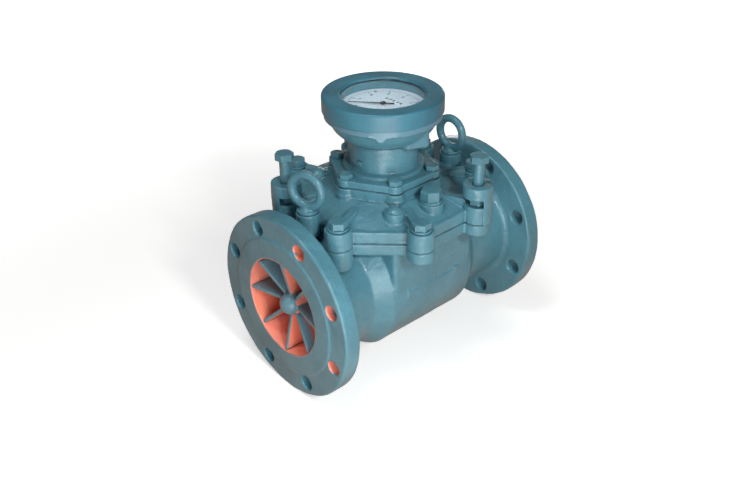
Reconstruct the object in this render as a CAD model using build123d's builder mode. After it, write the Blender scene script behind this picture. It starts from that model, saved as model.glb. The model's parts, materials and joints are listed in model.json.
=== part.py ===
from build123d import *
import math
import os

# Turbine flow meter for a 150 mm pipe line, in millimetres.
# The pipe axis is X, with the flow towards +X, and +Z is up through the dial.
# The origin is on the pipe axis, in the plane of the inlet flange's bolt holes.

os.makedirs("parts", exist_ok=True)

# Pipe line and its flanges
bore_r = 75.0
face_to_face = 410.0
flange_r = 140.0
flange_t = 26.0
flange_edge = 2.0
raised_inset = 34.0
raised_r = flange_r - raised_inset
raised_h = 2.0
pipe_bolt_inset = 20.0
pipe_bolt_pitch_r = flange_r - pipe_bolt_inset
pipe_bolt_hole_r = 11.5
pipe_bolt_count = 8
inlet_face_x = -raised_h
outlet_face_x = face_to_face - raised_h
outlet_bolt_x = outlet_face_x - raised_h

# Body casting
neck_wall = 17.0
neck_r = bore_r + neck_wall
neck_fillet = 9.0
chamber_x = 198.0
chamber_half_length = 66.0
end_wall = 14.0
chamber_r = 97.0
barrel_wall = 12.0
barrel_r = chamber_r + barrel_wall
barrel_half_length = chamber_half_length + end_wall
barrel_corner_r = 7.0
shoulder_length = 24.0
barrel_front_x = chamber_x - barrel_half_length
barrel_back_x = chamber_x + barrel_half_length
chamber_front_x = chamber_x - chamber_half_length
chamber_back_x = chamber_x + chamber_half_length
throat_step = 3.0
throat_r = bore_r - throat_step
throat_length = 42.0
joint_z = 101.0
body_flange_t = 17.0
deep_boss_h = 31.0
arrow_length = 104.0
arrow_z = 9.0
arrow_bar = 3.2
arrow_head = 13.0
arrow_relief = 1.6

# Eight-sided joint between body and cover
octagon_apothem = 131.0
octagon_corner_r = 6.0
cover_bolt_pitch_r = 148.0
cover_bolt_count = 8
corner_angle = 180.0 / cover_bolt_count
boss_r = 19.0
gasket_t = 1.0
cover_z = joint_z + gasket_t
cover_flange_t = 18.0
cover_rim_z = cover_z + cover_flange_t
boss_rise = 9.0
boss_top_z = cover_rim_z + boss_rise
jack_angles = (corner_angle + 135.0, corner_angle - 90.0)
plain_angles = [
    corner_angle + 45.0 * k
    for k in range(-4, 4)
    if corner_angle + 45.0 * k not in jack_angles
]
deep_angles = (corner_angle, 180.0 - corner_angle, -corner_angle, corner_angle - 180.0)

# Fasteners of the joint
bolt_r = 8.0
bolt_flats = 24.0
bolt_head_h = 10.0
bolt_engagement = 13.0
fit = 0.05
tap_runout = 1.0
washer_r = 15.0
washer_t = 3.0
jack_height = 66.0
jack_nut_h = 12.0
ear_r = 22.0
ear_t = 18.0
ear_gap = 1.0
eye_pitch_r = 144.0
eye_lug_r = 17.0
eye_lug_rise = 16.0
eye_major_r = 23.75
eye_wire_r = 6.25
eye_collar_r = 15.0
eye_collar_h = 4.8
eye_stem_low_r = 12.0
eye_stem_top_r = 7.2
eye_centre_h = 33.0
eye_shank_length = 24.0
eye_turn = 20.0

# Domed top of the cover and its six-sided pedestal
cover_wall = 11.0
cavity_margin = 4.0
block_margin = 2.0
dome_foot_r = 125.0
dome_top_r = 80.0
dome_rise = 18.0
dome_top_z = cover_rim_z + dome_rise
rib_w = 13.0
rib_rise = 14.0
rib_end_r = cover_bolt_pitch_r - boss_r + 2.5
pedestal_r = 85.0
pedestal_corner_r = 12.0
pedestal_h = 14.0
pedestal_z = dome_top_z + pedestal_h
pedestal_bolt_pitch_r = 73.0
pedestal_bolt_count = 6
pedestal_boss_r = 14.0
pedestal_foot_r = 15.5
pedestal_foot_h = 4.2
neck_bolt_r = 6.0
neck_bolt_flats = 18.0
neck_bolt_head_h = 7.5
neck_bolt_engagement = 12.0

# Plugs in the cover
vent_angle = -90.0
plug_pitch_r = 99.0
vent_boss_r = 18.0
vent_plug_r = 10.0
vent_plug_flats = 27.0
vent_collar_r = 16.0
vent_collar_h = 4.0
vent_head_h = 15.0
vent_chamfer = 1.2
vent_boss_z = dome_top_z
low_plug_angles = (-124.0, 124.0, 56.0)
low_plug_pitch_r = 102.0
low_boss_r = 15.0
low_boss_z = dome_top_z
low_plug_r = 8.0
low_plug_head_r = 12.0
low_plug_head_h = 6.0
plug_depth = 14.0

# Rotor, worm and vertical shaft
rotor_set_back = 50.0
rotor_x = chamber_x - rotor_set_back
rotor_length = 34.0
hub_r = 28.0
blade_count = 8
blade_t = 2.6
blade_sink = 2.0
blade_root_pitch = 24.0
blade_tip_pitch = 48.0
tip_gap = 0.8
axial_gap = 2.0
rotor_shaft_r = 3.5
worm_pitch_r = 4.5
wheel_teeth = 16
wheel_pitch_r = 9.0
wheel_t = 4.0
thread_half_w = 0.5
tooth_half_w = 0.5
addendum = 0.8
dedendum = 1.0
worm_turns = 3.5
worm_lead = 2 * math.pi * wheel_pitch_r / wheel_teeth
shaft_offset = worm_pitch_r + wheel_pitch_r
shaft_x = chamber_x
shaft_y = -shaft_offset
drive_shaft_r = 3.0
bush_wall = 3.0
bush_length = 10.0
shaft_clearance = 1.0
shaft_end_gap = 1.0

# Measuring insert that hangs from the cover
seal_t = 1.0
seal_margin = 2.0
tube_wall = 12.0
tube_r = throat_r + tube_wall
turret_r = 34.0
turret_wall = 8.0
turret_flange_r = 48.0
turret_flange_t = 8.0
insert_screw_r = 4.0
insert_screw_pitch_r = 42.0
insert_screw_count = 4
insert_screw_engagement = 14.0
insert_screw_flats = 13.0
insert_screw_head_h = 5.0
strut_t = 16.0
strut_length = 30.0
hub_wall = 4.0
vane_t = 3.0
support_vanes = 4
hub_inset = 2.0
rear_hub_length = 56.0
spigot_length = 12.0
tail_length = 24.0

# Inlet straightener seen through the inlet flange
straightener_hub_r = 16.5
straightener_front_x = 14.0
straightener_rim_x = 0.5
straightener_vanes = 8
straightener_vane_t = 5.0
straightener_nose = 15.0
straightener_back_x = chamber_front_x - throat_length

# Magnetic coupling between the wet side and the dry register
magnet_r = 15.0
magnet_h = 12.0
magnet_gap = 1.5
magnet_web = 2.0
cap_r = 46.0
cap_t = 3.0

# Register neck, bowl and bezel
neck_flange_z = pedestal_z + gasket_t
neck_flange_t = 11.0
neck_boss_r = 12.0
neck_step_r = 61.0
neck_step_h = 4.0
neck_step_round = 1.5
register_neck_r = 51.5
register_neck_wall = 9.5
neck_rise = 45.0
neck_top_z = neck_flange_z + neck_flange_t + neck_rise
bearing_plate_rise = 32.0
bearing_plate_z = neck_flange_z + bearing_plate_rise
bearing_plate_t = 4.0
plate_ledge = 2.0
seal_screw_r = 2.5
seal_screw_angle = -172.0
seal_screw_rise = 18.0
seal_screw_flats = 7.0
seal_screw_head_h = 3.0
seal_screw_length = 7.5
bowl_floor_t = 5.0
bowl_wall = 5.0
bowl_rim_r = 80.0
rim_step = 4.0
bowl_height = 41.0
bowl_top_z = neck_top_z + bowl_height
skirt_gap = 0.3
skirt_t = 5.0
skirt_h = 8.5
skirt_tab_w = 16.0
skirt_tab_h = 7.0
skirt_tab_angle = -135.0
box_angle = -112.0
box_w = 38.0
box_side = 27.0
box_reach = 66.0
box_depth = 40.0
box_corner_r = 6.0
box_h = 31.0
bezel_overhang = 8.0
bezel_r = bowl_rim_r + bezel_overhang
bezel_h = 25.0
bezel_round = 4.0
bezel_wall = 20.0
bezel_bore_r = bezel_r - bezel_wall
window_lip = 8.0
window_r = bezel_bore_r - window_lip
window_bevel = 3.0
lip_t = 4.0
glass_t = 4.0
glass_gasket_t = 1.5
gasket_set_back = 0.5
dial_ring_h = 12.0
dial_ring_wall = 6.5
dial_t = 1.5
dial_hole_gap = 0.6
dial_screw_r = 1.5
dial_screw_head_r = 2.7
dial_screw_head_h = 1.2
dial_screw_length = 6.0
bezel_top_z = bowl_top_z + bezel_h
glass_z = bezel_top_z - lip_t - glass_t
dial_ring_z = glass_z - glass_gasket_t - dial_ring_h
dial_z = dial_ring_z - dial_t

# Register movement
floor_z = neck_top_z + bowl_floor_t
movement_rise = 12.0
movement_z = floor_z + movement_rise
movement_t = 2.5
movement_r = 56.0
pillar_r = 3.5
low_pillar_pitch_r = 40.0
dial_pillar_pitch_r = 50.0
pillar_count = 3
small_shaft_r = 2.2
floor_bush_h = 2.0
gear_rise = 3.0
gear_z = floor_z + gear_rise
gear_t = 4.0
pinion_teeth = 9
gear_teeth = 27
gear_module = shaft_offset / ((pinion_teeth + gear_teeth) / 2)
pinion_pitch_r = gear_module * pinion_teeth / 2
gear_pitch_r = gear_module * gear_teeth / 2
gear_tooth_half_w = 0.4
gear_addendum = 0.6
gear_dedendum = 0.85
pointer_length = 50.0
pointer_tail = 16.0
pointer_angle = 129.6
pointer_t = 0.8
pointer_tail_half_w = 1.5
pointer_root_half_w = 1.3
pointer_tip_half_w = 0.35
pointer_hub_r = 4.5
pointer_hub_h = 2.0
pointer_hub_step = 1.0
pointer_rise = 1.5

# Counter with its drums in a row under the dial
drum_count = 5
drum_r = 8.0
drum_w = 5.0
drum_pitch = 7.4
drum_x = 20.5
drum_first_y = -15.2
drum_dial_gap = 0.7
axle_r = 1.5
axle_z = dial_z - drum_dial_gap - drum_r
drum_window_w = 4.6
drum_window_h = 6.4
counter_wheel_teeth = 10
counter_wheel_pitch_r = 6.0
counter_wheel_t = 3.0
collar_wall = 1.5
counter_worm_pitch_r = 5.0
counter_turns = 3.0
counter_lead = 2 * math.pi * counter_wheel_pitch_r / counter_wheel_teeth
counter_dx = drum_x - counter_wheel_pitch_r - counter_worm_pitch_r
counter_dy = -shaft_offset - math.sqrt(shaft_offset ** 2 - counter_dx ** 2)
cheek_t = 1.5
cheek_gap = 1.0
cheek_w = 8.0
frame_base_t = 1.5
frame_base_w = 14.0


def deck(height):
    """Level plane at this height, centred on the dial's axis."""
    return Plane(origin=(chamber_x, 0, height))


def deck_turned(height, angle):
    """Level plane on the dial's axis, with its x direction turned outwards to the angle."""
    direction = (math.cos(math.radians(angle)), math.sin(math.radians(angle)), 0)
    return Plane(origin=(chamber_x, 0, height), x_dir=direction, z_dir=(0, 0, 1))


def shaft_deck(height):
    """Level plane at this height, centred on the vertical drive shaft."""
    return Plane(origin=(shaft_x, shaft_y, height))


def across(x):
    """Plane across the pipe at this place along it."""
    return Plane.YZ.offset(x)


def hex_screw(flats, head_h, shank_r, shank_length):
    """Hexagon screw with a turned crown, its head seated at height zero."""
    corner_r = flats / math.sqrt(3)
    crown_r = flats / 2 * 0.94
    crown_drop = (corner_r - crown_r) * math.tan(math.radians(30))
    with BuildPart() as screw:
        with BuildSketch():
            RegularPolygon(flats / 2, 6, major_radius=False)
        extrude(amount=head_h)
        with BuildSketch(Plane.XZ):
            with BuildLine():
                Polyline(
                    (0, 0),
                    (corner_r, 0),
                    (corner_r, head_h - crown_drop),
                    (crown_r, head_h),
                    (0, head_h),
                    close=True,
                )
            make_face()
        revolve(axis=Axis.Z, mode=Mode.INTERSECT)
        with BuildSketch():
            Circle(shank_r)
        extrude(amount=-shank_length)
    return screw.part


def bush(plane, inner_r, outer_r, length):
    """Plain bearing bush that stands on the plane."""
    with BuildPart() as sleeve:
        with BuildSketch(plane):
            Circle(outer_r)
            Circle(inner_r, mode=Mode.SUBTRACT)
        extrude(amount=length)
    return sleeve.part


def spur_gear(plane, teeth, pitch_r, rise, drop, half_w, thickness, hole_r):
    """Straight-toothed gear on the plane, with its first tooth along the plane's x."""
    root_r = pitch_r - drop
    depth = rise + drop
    sink = 0.4
    with BuildPart() as gear:
        with BuildSketch(plane):
            Circle(root_r)
            with PolarLocations(root_r, teeth):
                Polygon(
                    (-sink, -half_w * 1.5),
                    (0, -half_w * 1.5),
                    (depth, -half_w * 0.6),
                    (depth, half_w * 0.6),
                    (0, half_w * 1.5),
                    (-sink, half_w * 1.5),
                    align=None,
                )
            if hole_r > 0:
                Circle(hole_r, mode=Mode.SUBTRACT)
        extrude(amount=thickness)
    return gear.part


def worm_thread(centre, direction, lead, turns, root_r, depth, half_w):
    """One-start right-handed thread round a core, from the centre point along the direction."""
    with BuildPart() as thread:
        with BuildLine() as path:
            Helix(lead, lead * turns, root_r, center=centre, direction=direction)
        start = path.line @ 0
        outward = (start - Vector(*centre)).normalized()
        with BuildSketch(Plane(origin=start, x_dir=outward, z_dir=path.line % 0)):
            Polygon(
                (-0.4, -half_w * 1.7),
                (depth, -half_w * 0.7),
                (depth, half_w * 0.7),
                (-0.4, half_w * 1.7),
                align=None,
            )
        sweep(path=path.line, is_frenet=True)
        with BuildSketch(Plane(origin=centre, z_dir=direction)):
            Circle(root_r)
        extrude(amount=lead * turns)
    return thread.part


# Outline of the eight-sided joint, with a round lobe at each corner
with BuildSketch() as joint_outline:
    RegularPolygon(octagon_apothem, cover_bolt_count, major_radius=False, rotation=corner_angle)
    fillet(joint_outline.vertices(), octagon_corner_r)
    with PolarLocations(cover_bolt_pitch_r, cover_bolt_count, start_angle=corner_angle):
        Circle(boss_r)

# Outline of the six-sided pedestal, with a rounded corner round each bolt
with BuildSketch() as pedestal_outline:
    RegularPolygon(pedestal_r, pedestal_bolt_count)
    fillet(pedestal_outline.vertices(), pedestal_corner_r)

# Meter body: two pipe flanges, the necks, the barrel and the eight-sided top flange
with BuildPart() as meter_body:
    with BuildSketch(Plane.XZ):
        with BuildLine():
            Polyline(
                (flange_t, flange_r - flange_edge),
                (flange_t - flange_edge, flange_r),
                (flange_edge, flange_r),
                (0, flange_r - flange_edge),
                (0, raised_r),
                (inlet_face_x, raised_r),
                (inlet_face_x, 0),
                (outlet_face_x, 0),
                (outlet_face_x, raised_r),
                (outlet_bolt_x, raised_r),
                (outlet_bolt_x, flange_r - flange_edge),
                (outlet_bolt_x - flange_edge, flange_r),
                (outlet_bolt_x - flange_t + flange_edge, flange_r),
                (outlet_bolt_x - flange_t, flange_r - flange_edge),
            )
            FilletPolyline(
                (flange_t, flange_r - flange_edge),
                (flange_t, neck_r),
                (barrel_front_x - shoulder_length, neck_r),
                (barrel_front_x, barrel_r),
                (barrel_back_x, barrel_r),
                (barrel_back_x + shoulder_length, neck_r),
                (outlet_bolt_x - flange_t, neck_r),
                (outlet_bolt_x - flange_t, flange_r - flange_edge),
                radius=neck_fillet,
            )
        make_face()
    revolve(axis=Axis.X)
    # Upright part of the barrel, from the pipe axis to the joint
    with BuildSketch(deck(0)):
        RectangleRounded(2 * barrel_half_length, 2 * barrel_r, barrel_corner_r)
    extrude(amount=joint_z)
    with BuildSketch(deck(joint_z - body_flange_t)):
        add(joint_outline.sketch)
    extrude(amount=body_flange_t)
    for angle in deep_angles:
        with BuildSketch(deck_turned(joint_z - deep_boss_h, angle)):
            with Locations((cover_bolt_pitch_r, 0)):
                Circle(boss_r)
        extrude(amount=deep_boss_h)
    # The joint face is machined flat
    with BuildSketch(deck(joint_z)):
        Rectangle(2 * (barrel_half_length + shoulder_length) + boss_r, 2 * barrel_r)
    extrude(amount=barrel_r, mode=Mode.SUBTRACT)
    # Raised flow arrow on both sides
    for side in (-1, 1):
        side_plane = Plane(
            origin=(chamber_x, side * barrel_r, arrow_z), x_dir=(1, 0, 0), z_dir=(0, side, 0)
        )
        with BuildSketch(side_plane):
            Rectangle(arrow_length, arrow_bar)
            with Locations((-arrow_length / 2, 0)):
                Rectangle(arrow_bar, arrow_head)
            Rectangle(arrow_bar, arrow_head * 0.8)
            with Locations((arrow_length / 2, 0)):
                Polygon(
                    (0, arrow_bar * 0.9),
                    (-arrow_head * 0.7, arrow_head / 2),
                    (-arrow_head, arrow_head / 2 - arrow_bar * 0.6),
                    (-arrow_bar, 0),
                    (-arrow_head, arrow_bar * 0.6 - arrow_head / 2),
                    (-arrow_head * 0.7, -arrow_head / 2),
                    (0, -arrow_bar * 0.9),
                    align=None,
                )
        extrude(amount=arrow_relief)
    # Chamber that takes the measuring insert from above
    with BuildSketch(across(chamber_front_x)):
        Circle(chamber_r)
        Rectangle(2 * chamber_r, joint_z + gasket_t, align=(Align.CENTER, Align.MIN))
    extrude(amount=2 * chamber_half_length, mode=Mode.SUBTRACT)
    # Bore from each end, with a narrower throat beside the chamber
    with BuildSketch(across(inlet_face_x)):
        Circle(throat_r)
    extrude(amount=face_to_face, mode=Mode.SUBTRACT)
    with BuildSketch(across(inlet_face_x)):
        Circle(bore_r)
    extrude(amount=straightener_back_x - inlet_face_x, mode=Mode.SUBTRACT)
    with BuildSketch(across(outlet_face_x)):
        Circle(bore_r)
    extrude(amount=chamber_back_x + throat_length - outlet_face_x, mode=Mode.SUBTRACT)
    # Pipe bolt holes
    for hole_x in (inlet_face_x, outlet_bolt_x - flange_t):
        with BuildSketch(across(hole_x)):
            with PolarLocations(pipe_bolt_pitch_r, pipe_bolt_count, start_angle=corner_angle):
                Circle(pipe_bolt_hole_r)
        extrude(amount=flange_t + raised_h, mode=Mode.SUBTRACT)
    # Tapped holes for the cover bolts
    with BuildSketch(deck(joint_z)):
        with PolarLocations(cover_bolt_pitch_r, cover_bolt_count, start_angle=corner_angle):
            Circle(bolt_r + fit)
    extrude(amount=-bolt_engagement - tap_runout, mode=Mode.SUBTRACT)
meter_body.part.label = "meter_body"
export_step(meter_body.part, "parts/meter_body.step")

# Cover gasket
with BuildPart() as cover_gasket:
    with BuildSketch(deck(joint_z)):
        add(joint_outline.sketch)
        Rectangle(2 * chamber_half_length, 2 * chamber_r, mode=Mode.SUBTRACT)
        with PolarLocations(cover_bolt_pitch_r, cover_bolt_count, start_angle=corner_angle):
            Circle(bolt_r + fit, mode=Mode.SUBTRACT)
    extrude(amount=gasket_t)
cover_gasket.part.label = "cover_gasket"
export_step(cover_gasket.part, "parts/cover_gasket.step")

# Cover: eight-sided flange, sloping top with ribs, pedestal, lugs and ears
nut_corner_r = bolt_flats / math.sqrt(3)
ear_wall_r = nut_corner_r + ear_gap
ear_z = boss_top_z + jack_nut_h + ear_gap
eye_lug_z = cover_rim_z + eye_lug_rise
cavity_r = dome_top_r + cavity_margin
cavity_z = dome_top_z - cover_wall
block_r = turret_flange_r + block_margin
magnet_pocket_z = pedestal_z - magnet_h - 2 * magnet_gap
with BuildPart() as cover:
    with BuildSketch(deck(cover_z)):
        add(joint_outline.sketch)
    extrude(amount=cover_flange_t)
    with BuildSketch(deck(cover_rim_z)):
        with PolarLocations(cover_bolt_pitch_r, cover_bolt_count, start_angle=corner_angle):
            Circle(boss_r)
    extrude(amount=boss_rise)
    # Sloping top
    with BuildSketch(deck(cover_rim_z)):
        Circle(dome_foot_r)
    with BuildSketch(deck(dome_top_z)):
        Circle(dome_top_r)
    loft()
    # Ribs from the pedestal to the corner bosses
    for k in range(cover_bolt_count):
        with BuildSketch(deck_turned(cover_z, corner_angle + 360.0 / cover_bolt_count * k)):
            Rectangle(rib_end_r, rib_w, align=(Align.MIN, Align.CENTER))
        extrude(amount=cover_flange_t + rib_rise)
    # Pedestal and the round feet of its bolt bosses
    with BuildSketch(deck(cover_z)):
        add(pedestal_outline.sketch)
    extrude(amount=pedestal_z - cover_z)
    with BuildSketch(deck(cover_rim_z)):
        with PolarLocations(pedestal_bolt_pitch_r, pedestal_bolt_count):
            Circle(pedestal_boss_r)
    extrude(amount=pedestal_z - cover_rim_z)
    with BuildSketch(deck(cover_rim_z)):
        with PolarLocations(pedestal_bolt_pitch_r, pedestal_bolt_count):
            Circle(pedestal_foot_r)
    extrude(amount=dome_rise + pedestal_foot_h)
    # Lugs for the two eyebolts
    with BuildSketch(deck(cover_z)):
        with PolarLocations(eye_pitch_r, 2):
            Circle(eye_lug_r)
    extrude(amount=eye_lug_z - cover_z)
    # Ears that reach over two of the corner bosses
    for angle in jack_angles:
        with BuildSketch(deck_turned(cover_z, angle)):
            with Locations((cover_bolt_pitch_r, 0)):
                Circle(ear_r)
                Rectangle(2 * ear_r, 2 * ear_r, align=(Align.MAX, Align.CENTER), mode=Mode.SUBTRACT)
                Rectangle(
                    ear_wall_r, 2 * ear_r, align=(Align.MIN, Align.CENTER), mode=Mode.SUBTRACT
                )
        extrude(amount=ear_z + ear_t - cover_z)
        with BuildSketch(deck_turned(ear_z, angle)):
            with Locations((cover_bolt_pitch_r, 0)):
                Circle(ear_r)
        extrude(amount=ear_t)
    # Bosses for the plugs
    with BuildSketch(deck_turned(cover_rim_z, vent_angle)):
        with Locations((plug_pitch_r, 0)):
            Circle(vent_boss_r)
    extrude(amount=vent_boss_z - cover_rim_z)
    for angle in low_plug_angles:
        with BuildSketch(deck_turned(cover_rim_z, angle)):
            with Locations((low_plug_pitch_r, 0)):
                Circle(low_boss_r)
        extrude(amount=low_boss_z - cover_rim_z)
    # Hollow underside round the block that carries the insert
    with BuildSketch(deck(cover_z)):
        Circle(cavity_r)
        Circle(block_r, mode=Mode.SUBTRACT)
    extrude(amount=cavity_z - cover_z, mode=Mode.SUBTRACT)
    # Drive shaft passage, bush seat and magnet pocket
    with BuildSketch(shaft_deck(cover_z)):
        Circle(drive_shaft_r + 2 * shaft_clearance)
    extrude(amount=magnet_pocket_z - cover_z, mode=Mode.SUBTRACT)
    with BuildSketch(shaft_deck(magnet_pocket_z)):
        Circle(drive_shaft_r + bush_wall + fit)
    extrude(amount=-bush_length, mode=Mode.SUBTRACT)
    with BuildSketch(shaft_deck(magnet_pocket_z)):
        Circle(magnet_r + magnet_gap)
    extrude(amount=pedestal_z - magnet_pocket_z, mode=Mode.SUBTRACT)
    # Bolt holes
    with BuildSketch(deck(cover_z)):
        with PolarLocations(cover_bolt_pitch_r, cover_bolt_count, start_angle=corner_angle):
            Circle(bolt_r + 2 * fit)
    extrude(amount=ear_z + ear_t - cover_z, mode=Mode.SUBTRACT)
    with BuildSketch(deck(pedestal_z)):
        with PolarLocations(pedestal_bolt_pitch_r, pedestal_bolt_count):
            Circle(neck_bolt_r + fit)
    extrude(amount=-neck_bolt_engagement - tap_runout, mode=Mode.SUBTRACT)
    with BuildSketch(deck(eye_lug_z)):
        with PolarLocations(eye_pitch_r, 2):
            Circle(bolt_r + fit)
    extrude(amount=-eye_shank_length - tap_runout, mode=Mode.SUBTRACT)
    with BuildSketch(deck(cover_z)):
        with PolarLocations(insert_screw_pitch_r, insert_screw_count, start_angle=45):
            Circle(insert_screw_r + fit)
    extrude(amount=insert_screw_engagement + tap_runout, mode=Mode.SUBTRACT)
    with BuildSketch(deck_turned(vent_boss_z, vent_angle)):
        with Locations((plug_pitch_r, 0)):
            Circle(vent_plug_r + fit)
    extrude(amount=-plug_depth - tap_runout, mode=Mode.SUBTRACT)
    for angle in low_plug_angles:
        with BuildSketch(deck_turned(low_boss_z, angle)):
            with Locations((low_plug_pitch_r, 0)):
                Circle(low_plug_r + fit)
        extrude(amount=-plug_depth - tap_runout, mode=Mode.SUBTRACT)
cover.part.label = "cover"
export_step(cover.part, "parts/cover.step")

# Cover bolts and their washers
cover_bolt_length = boss_top_z + washer_t - joint_z + bolt_engagement
cover_bolt = hex_screw(bolt_flats, bolt_head_h, bolt_r, cover_bolt_length)
with BuildPart() as cover_bolts:
    for angle in plain_angles:
        place = deck_turned(boss_top_z + washer_t, angle)
        add(place.location * Pos(cover_bolt_pitch_r, 0, 0) * cover_bolt)
cover_bolts.part.label = "cover_bolts"
export_step(cover_bolts.part, "parts/cover_bolts.step")

with BuildPart() as cover_washers:
    for angle in plain_angles:
        with BuildSketch(deck_turned(boss_top_z, angle)):
            with Locations((cover_bolt_pitch_r, 0)):
                Circle(washer_r)
                Circle(bolt_r + 2 * fit, mode=Mode.SUBTRACT)
        extrude(amount=washer_t)
cover_washers.part.label = "cover_washers"
export_step(cover_washers.part, "parts/cover_washers.step")

# Long screws through the ears, and the nuts under the ears
jack_head_z = boss_top_z + jack_height
jack_screw = hex_screw(bolt_flats, bolt_head_h, bolt_r, jack_head_z - joint_z + bolt_engagement)
with BuildPart() as jack_screws:
    for angle in jack_angles:
        place = deck_turned(jack_head_z, angle)
        add(place.location * Pos(cover_bolt_pitch_r, 0, 0) * jack_screw)
jack_screws.part.label = "jack_screws"
export_step(jack_screws.part, "parts/jack_screws.step")

with BuildPart() as jack_nuts:
    for angle in jack_angles:
        with BuildSketch(deck_turned(boss_top_z, angle)):
            with Locations((cover_bolt_pitch_r, 0)):
                RegularPolygon(bolt_flats / 2, 6, major_radius=False)
                Circle(bolt_r + fit, mode=Mode.SUBTRACT)
        extrude(amount=jack_nut_h)
jack_nuts.part.label = "jack_nuts"
export_step(jack_nuts.part, "parts/jack_nuts.step")


def eye_bolt(x, turn):
    """Lifting eyebolt that stands on its lug, with the ring turned about the shank."""
    seat = Plane(origin=(x, 0, eye_lug_z))
    facing = Plane(
        origin=(x, 0, eye_lug_z + eye_centre_h),
        x_dir=(0, 0, 1),
        z_dir=(math.cos(math.radians(turn)), math.sin(math.radians(turn)), 0),
    )
    with BuildPart() as eye:
        with BuildSketch(seat):
            Circle(eye_collar_r)
        extrude(amount=eye_collar_h)
        with BuildSketch(seat.offset(eye_collar_h)):
            Circle(eye_stem_low_r)
        with BuildSketch(seat.offset(eye_centre_h - eye_major_r)):
            Circle(eye_stem_top_r)
        loft()
        with BuildSketch(seat):
            Circle(bolt_r)
        extrude(amount=-eye_shank_length)
        with BuildSketch(Plane(origin=facing.origin, x_dir=facing.x_dir, z_dir=facing.y_dir)):
            with Locations((eye_major_r, 0)):
                Circle(eye_wire_r)
        revolve(axis=Axis(facing.origin, facing.z_dir))
    return eye.part


# Eyebolts on the cover's two lugs
front_eye = eye_bolt(chamber_x - eye_pitch_r, eye_turn)
with BuildPart() as eye_bolt_front:
    add(front_eye)
eye_bolt_front.part.label = "eye_bolt_front"
export_step(eye_bolt_front.part, "parts/eye_bolt_front.step")

rear_eye = eye_bolt(chamber_x + eye_pitch_r, 0)
with BuildPart() as eye_bolt_rear:
    add(rear_eye)
eye_bolt_rear.part.label = "eye_bolt_rear"
export_step(eye_bolt_rear.part, "parts/eye_bolt_rear.step")

# Tall vent plug with a round collar
with BuildPart() as vent_plug:
    plug_plane = deck_turned(vent_boss_z, vent_angle)
    with BuildSketch(plug_plane):
        with Locations((plug_pitch_r, 0)):
            Circle(vent_collar_r)
    extrude(amount=vent_collar_h)
    with BuildSketch(plug_plane.offset(vent_collar_h)):
        with Locations((plug_pitch_r, 0)):
            RegularPolygon(vent_plug_flats / 2, 6, major_radius=False)
    extrude(amount=vent_head_h)
    chamfer(vent_plug.faces().sort_by(Axis.Z)[-1].edges(), vent_chamfer)
    with BuildSketch(plug_plane):
        with Locations((plug_pitch_r, 0)):
            Circle(vent_plug_r)
    extrude(amount=-plug_depth)
vent_plug.part.label = "vent_plug"
export_step(vent_plug.part, "parts/vent_plug.step")

# Low domed plugs
low_dome_r = (low_plug_head_r ** 2 + low_plug_head_h ** 2) / (2 * low_plug_head_h)
with BuildPart() as low_plugs:
    for angle in low_plug_angles:
        direction = (math.cos(math.radians(angle)), math.sin(math.radians(angle)), 0)
        centre = (
            chamber_x + low_plug_pitch_r * direction[0],
            low_plug_pitch_r * direction[1],
            low_boss_z,
        )
        with BuildSketch(Plane(origin=centre, x_dir=(1, 0, 0), z_dir=(0, -1, 0))):
            with BuildLine():
                Polyline(
                    (0, low_plug_head_h),
                    (0, -plug_depth),
                    (low_plug_r, -plug_depth),
                    (low_plug_r, 0),
                    (low_plug_head_r, 0),
                )
                RadiusArc((low_plug_head_r, 0), (0, low_plug_head_h), -low_dome_r)
            make_face()
        revolve(axis=Axis(centre, (0, 0, 1)))
low_plugs.part.label = "low_plugs"
export_step(low_plugs.part, "parts/low_plugs.step")

# Measuring tube with the turret that hangs it from the cover
tube_front_x = chamber_front_x + seal_t
tube_length = 2 * (chamber_half_length - seal_t)
with BuildPart() as measuring_tube:
    with BuildSketch(across(tube_front_x)):
        Circle(tube_r)
    extrude(amount=tube_length)
    with BuildSketch(deck(0)):
        Circle(turret_r)
    extrude(amount=cover_z)
    with BuildSketch(deck(cover_z - turret_flange_t)):
        Circle(turret_flange_r)
    extrude(amount=turret_flange_t)
    with BuildSketch(deck(0)):
        Circle(turret_r - turret_wall)
    extrude(amount=cover_z, mode=Mode.SUBTRACT)
    with BuildSketch(across(tube_front_x)):
        Circle(tube_r)
    extrude(amount=tube_length)
    with BuildSketch(across(tube_front_x)):
        Circle(throat_r)
    extrude(amount=tube_length, mode=Mode.SUBTRACT)
    with BuildSketch(shaft_deck(0)):
        Circle(drive_shaft_r + shaft_clearance)
    extrude(amount=cover_z, mode=Mode.SUBTRACT)
    with BuildSketch(deck(cover_z)):
        with PolarLocations(insert_screw_pitch_r, insert_screw_count, start_angle=45):
            Circle(insert_screw_r + fit)
    extrude(amount=-turret_flange_t, mode=Mode.SUBTRACT)
measuring_tube.part.label = "measuring_tube"
export_step(measuring_tube.part, "parts/measuring_tube.step")

# Flat seals between the tube's ends and the chamber walls
with BuildPart() as insert_seals:
    for seal_x in (chamber_front_x, chamber_back_x - seal_t):
        with BuildSketch(across(seal_x)):
            Circle(tube_r - seal_margin)
            Circle(throat_r, mode=Mode.SUBTRACT)
        extrude(amount=seal_t)
insert_seals.part.label = "insert_seals"
export_step(insert_seals.part, "parts/insert_seals.step")

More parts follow.
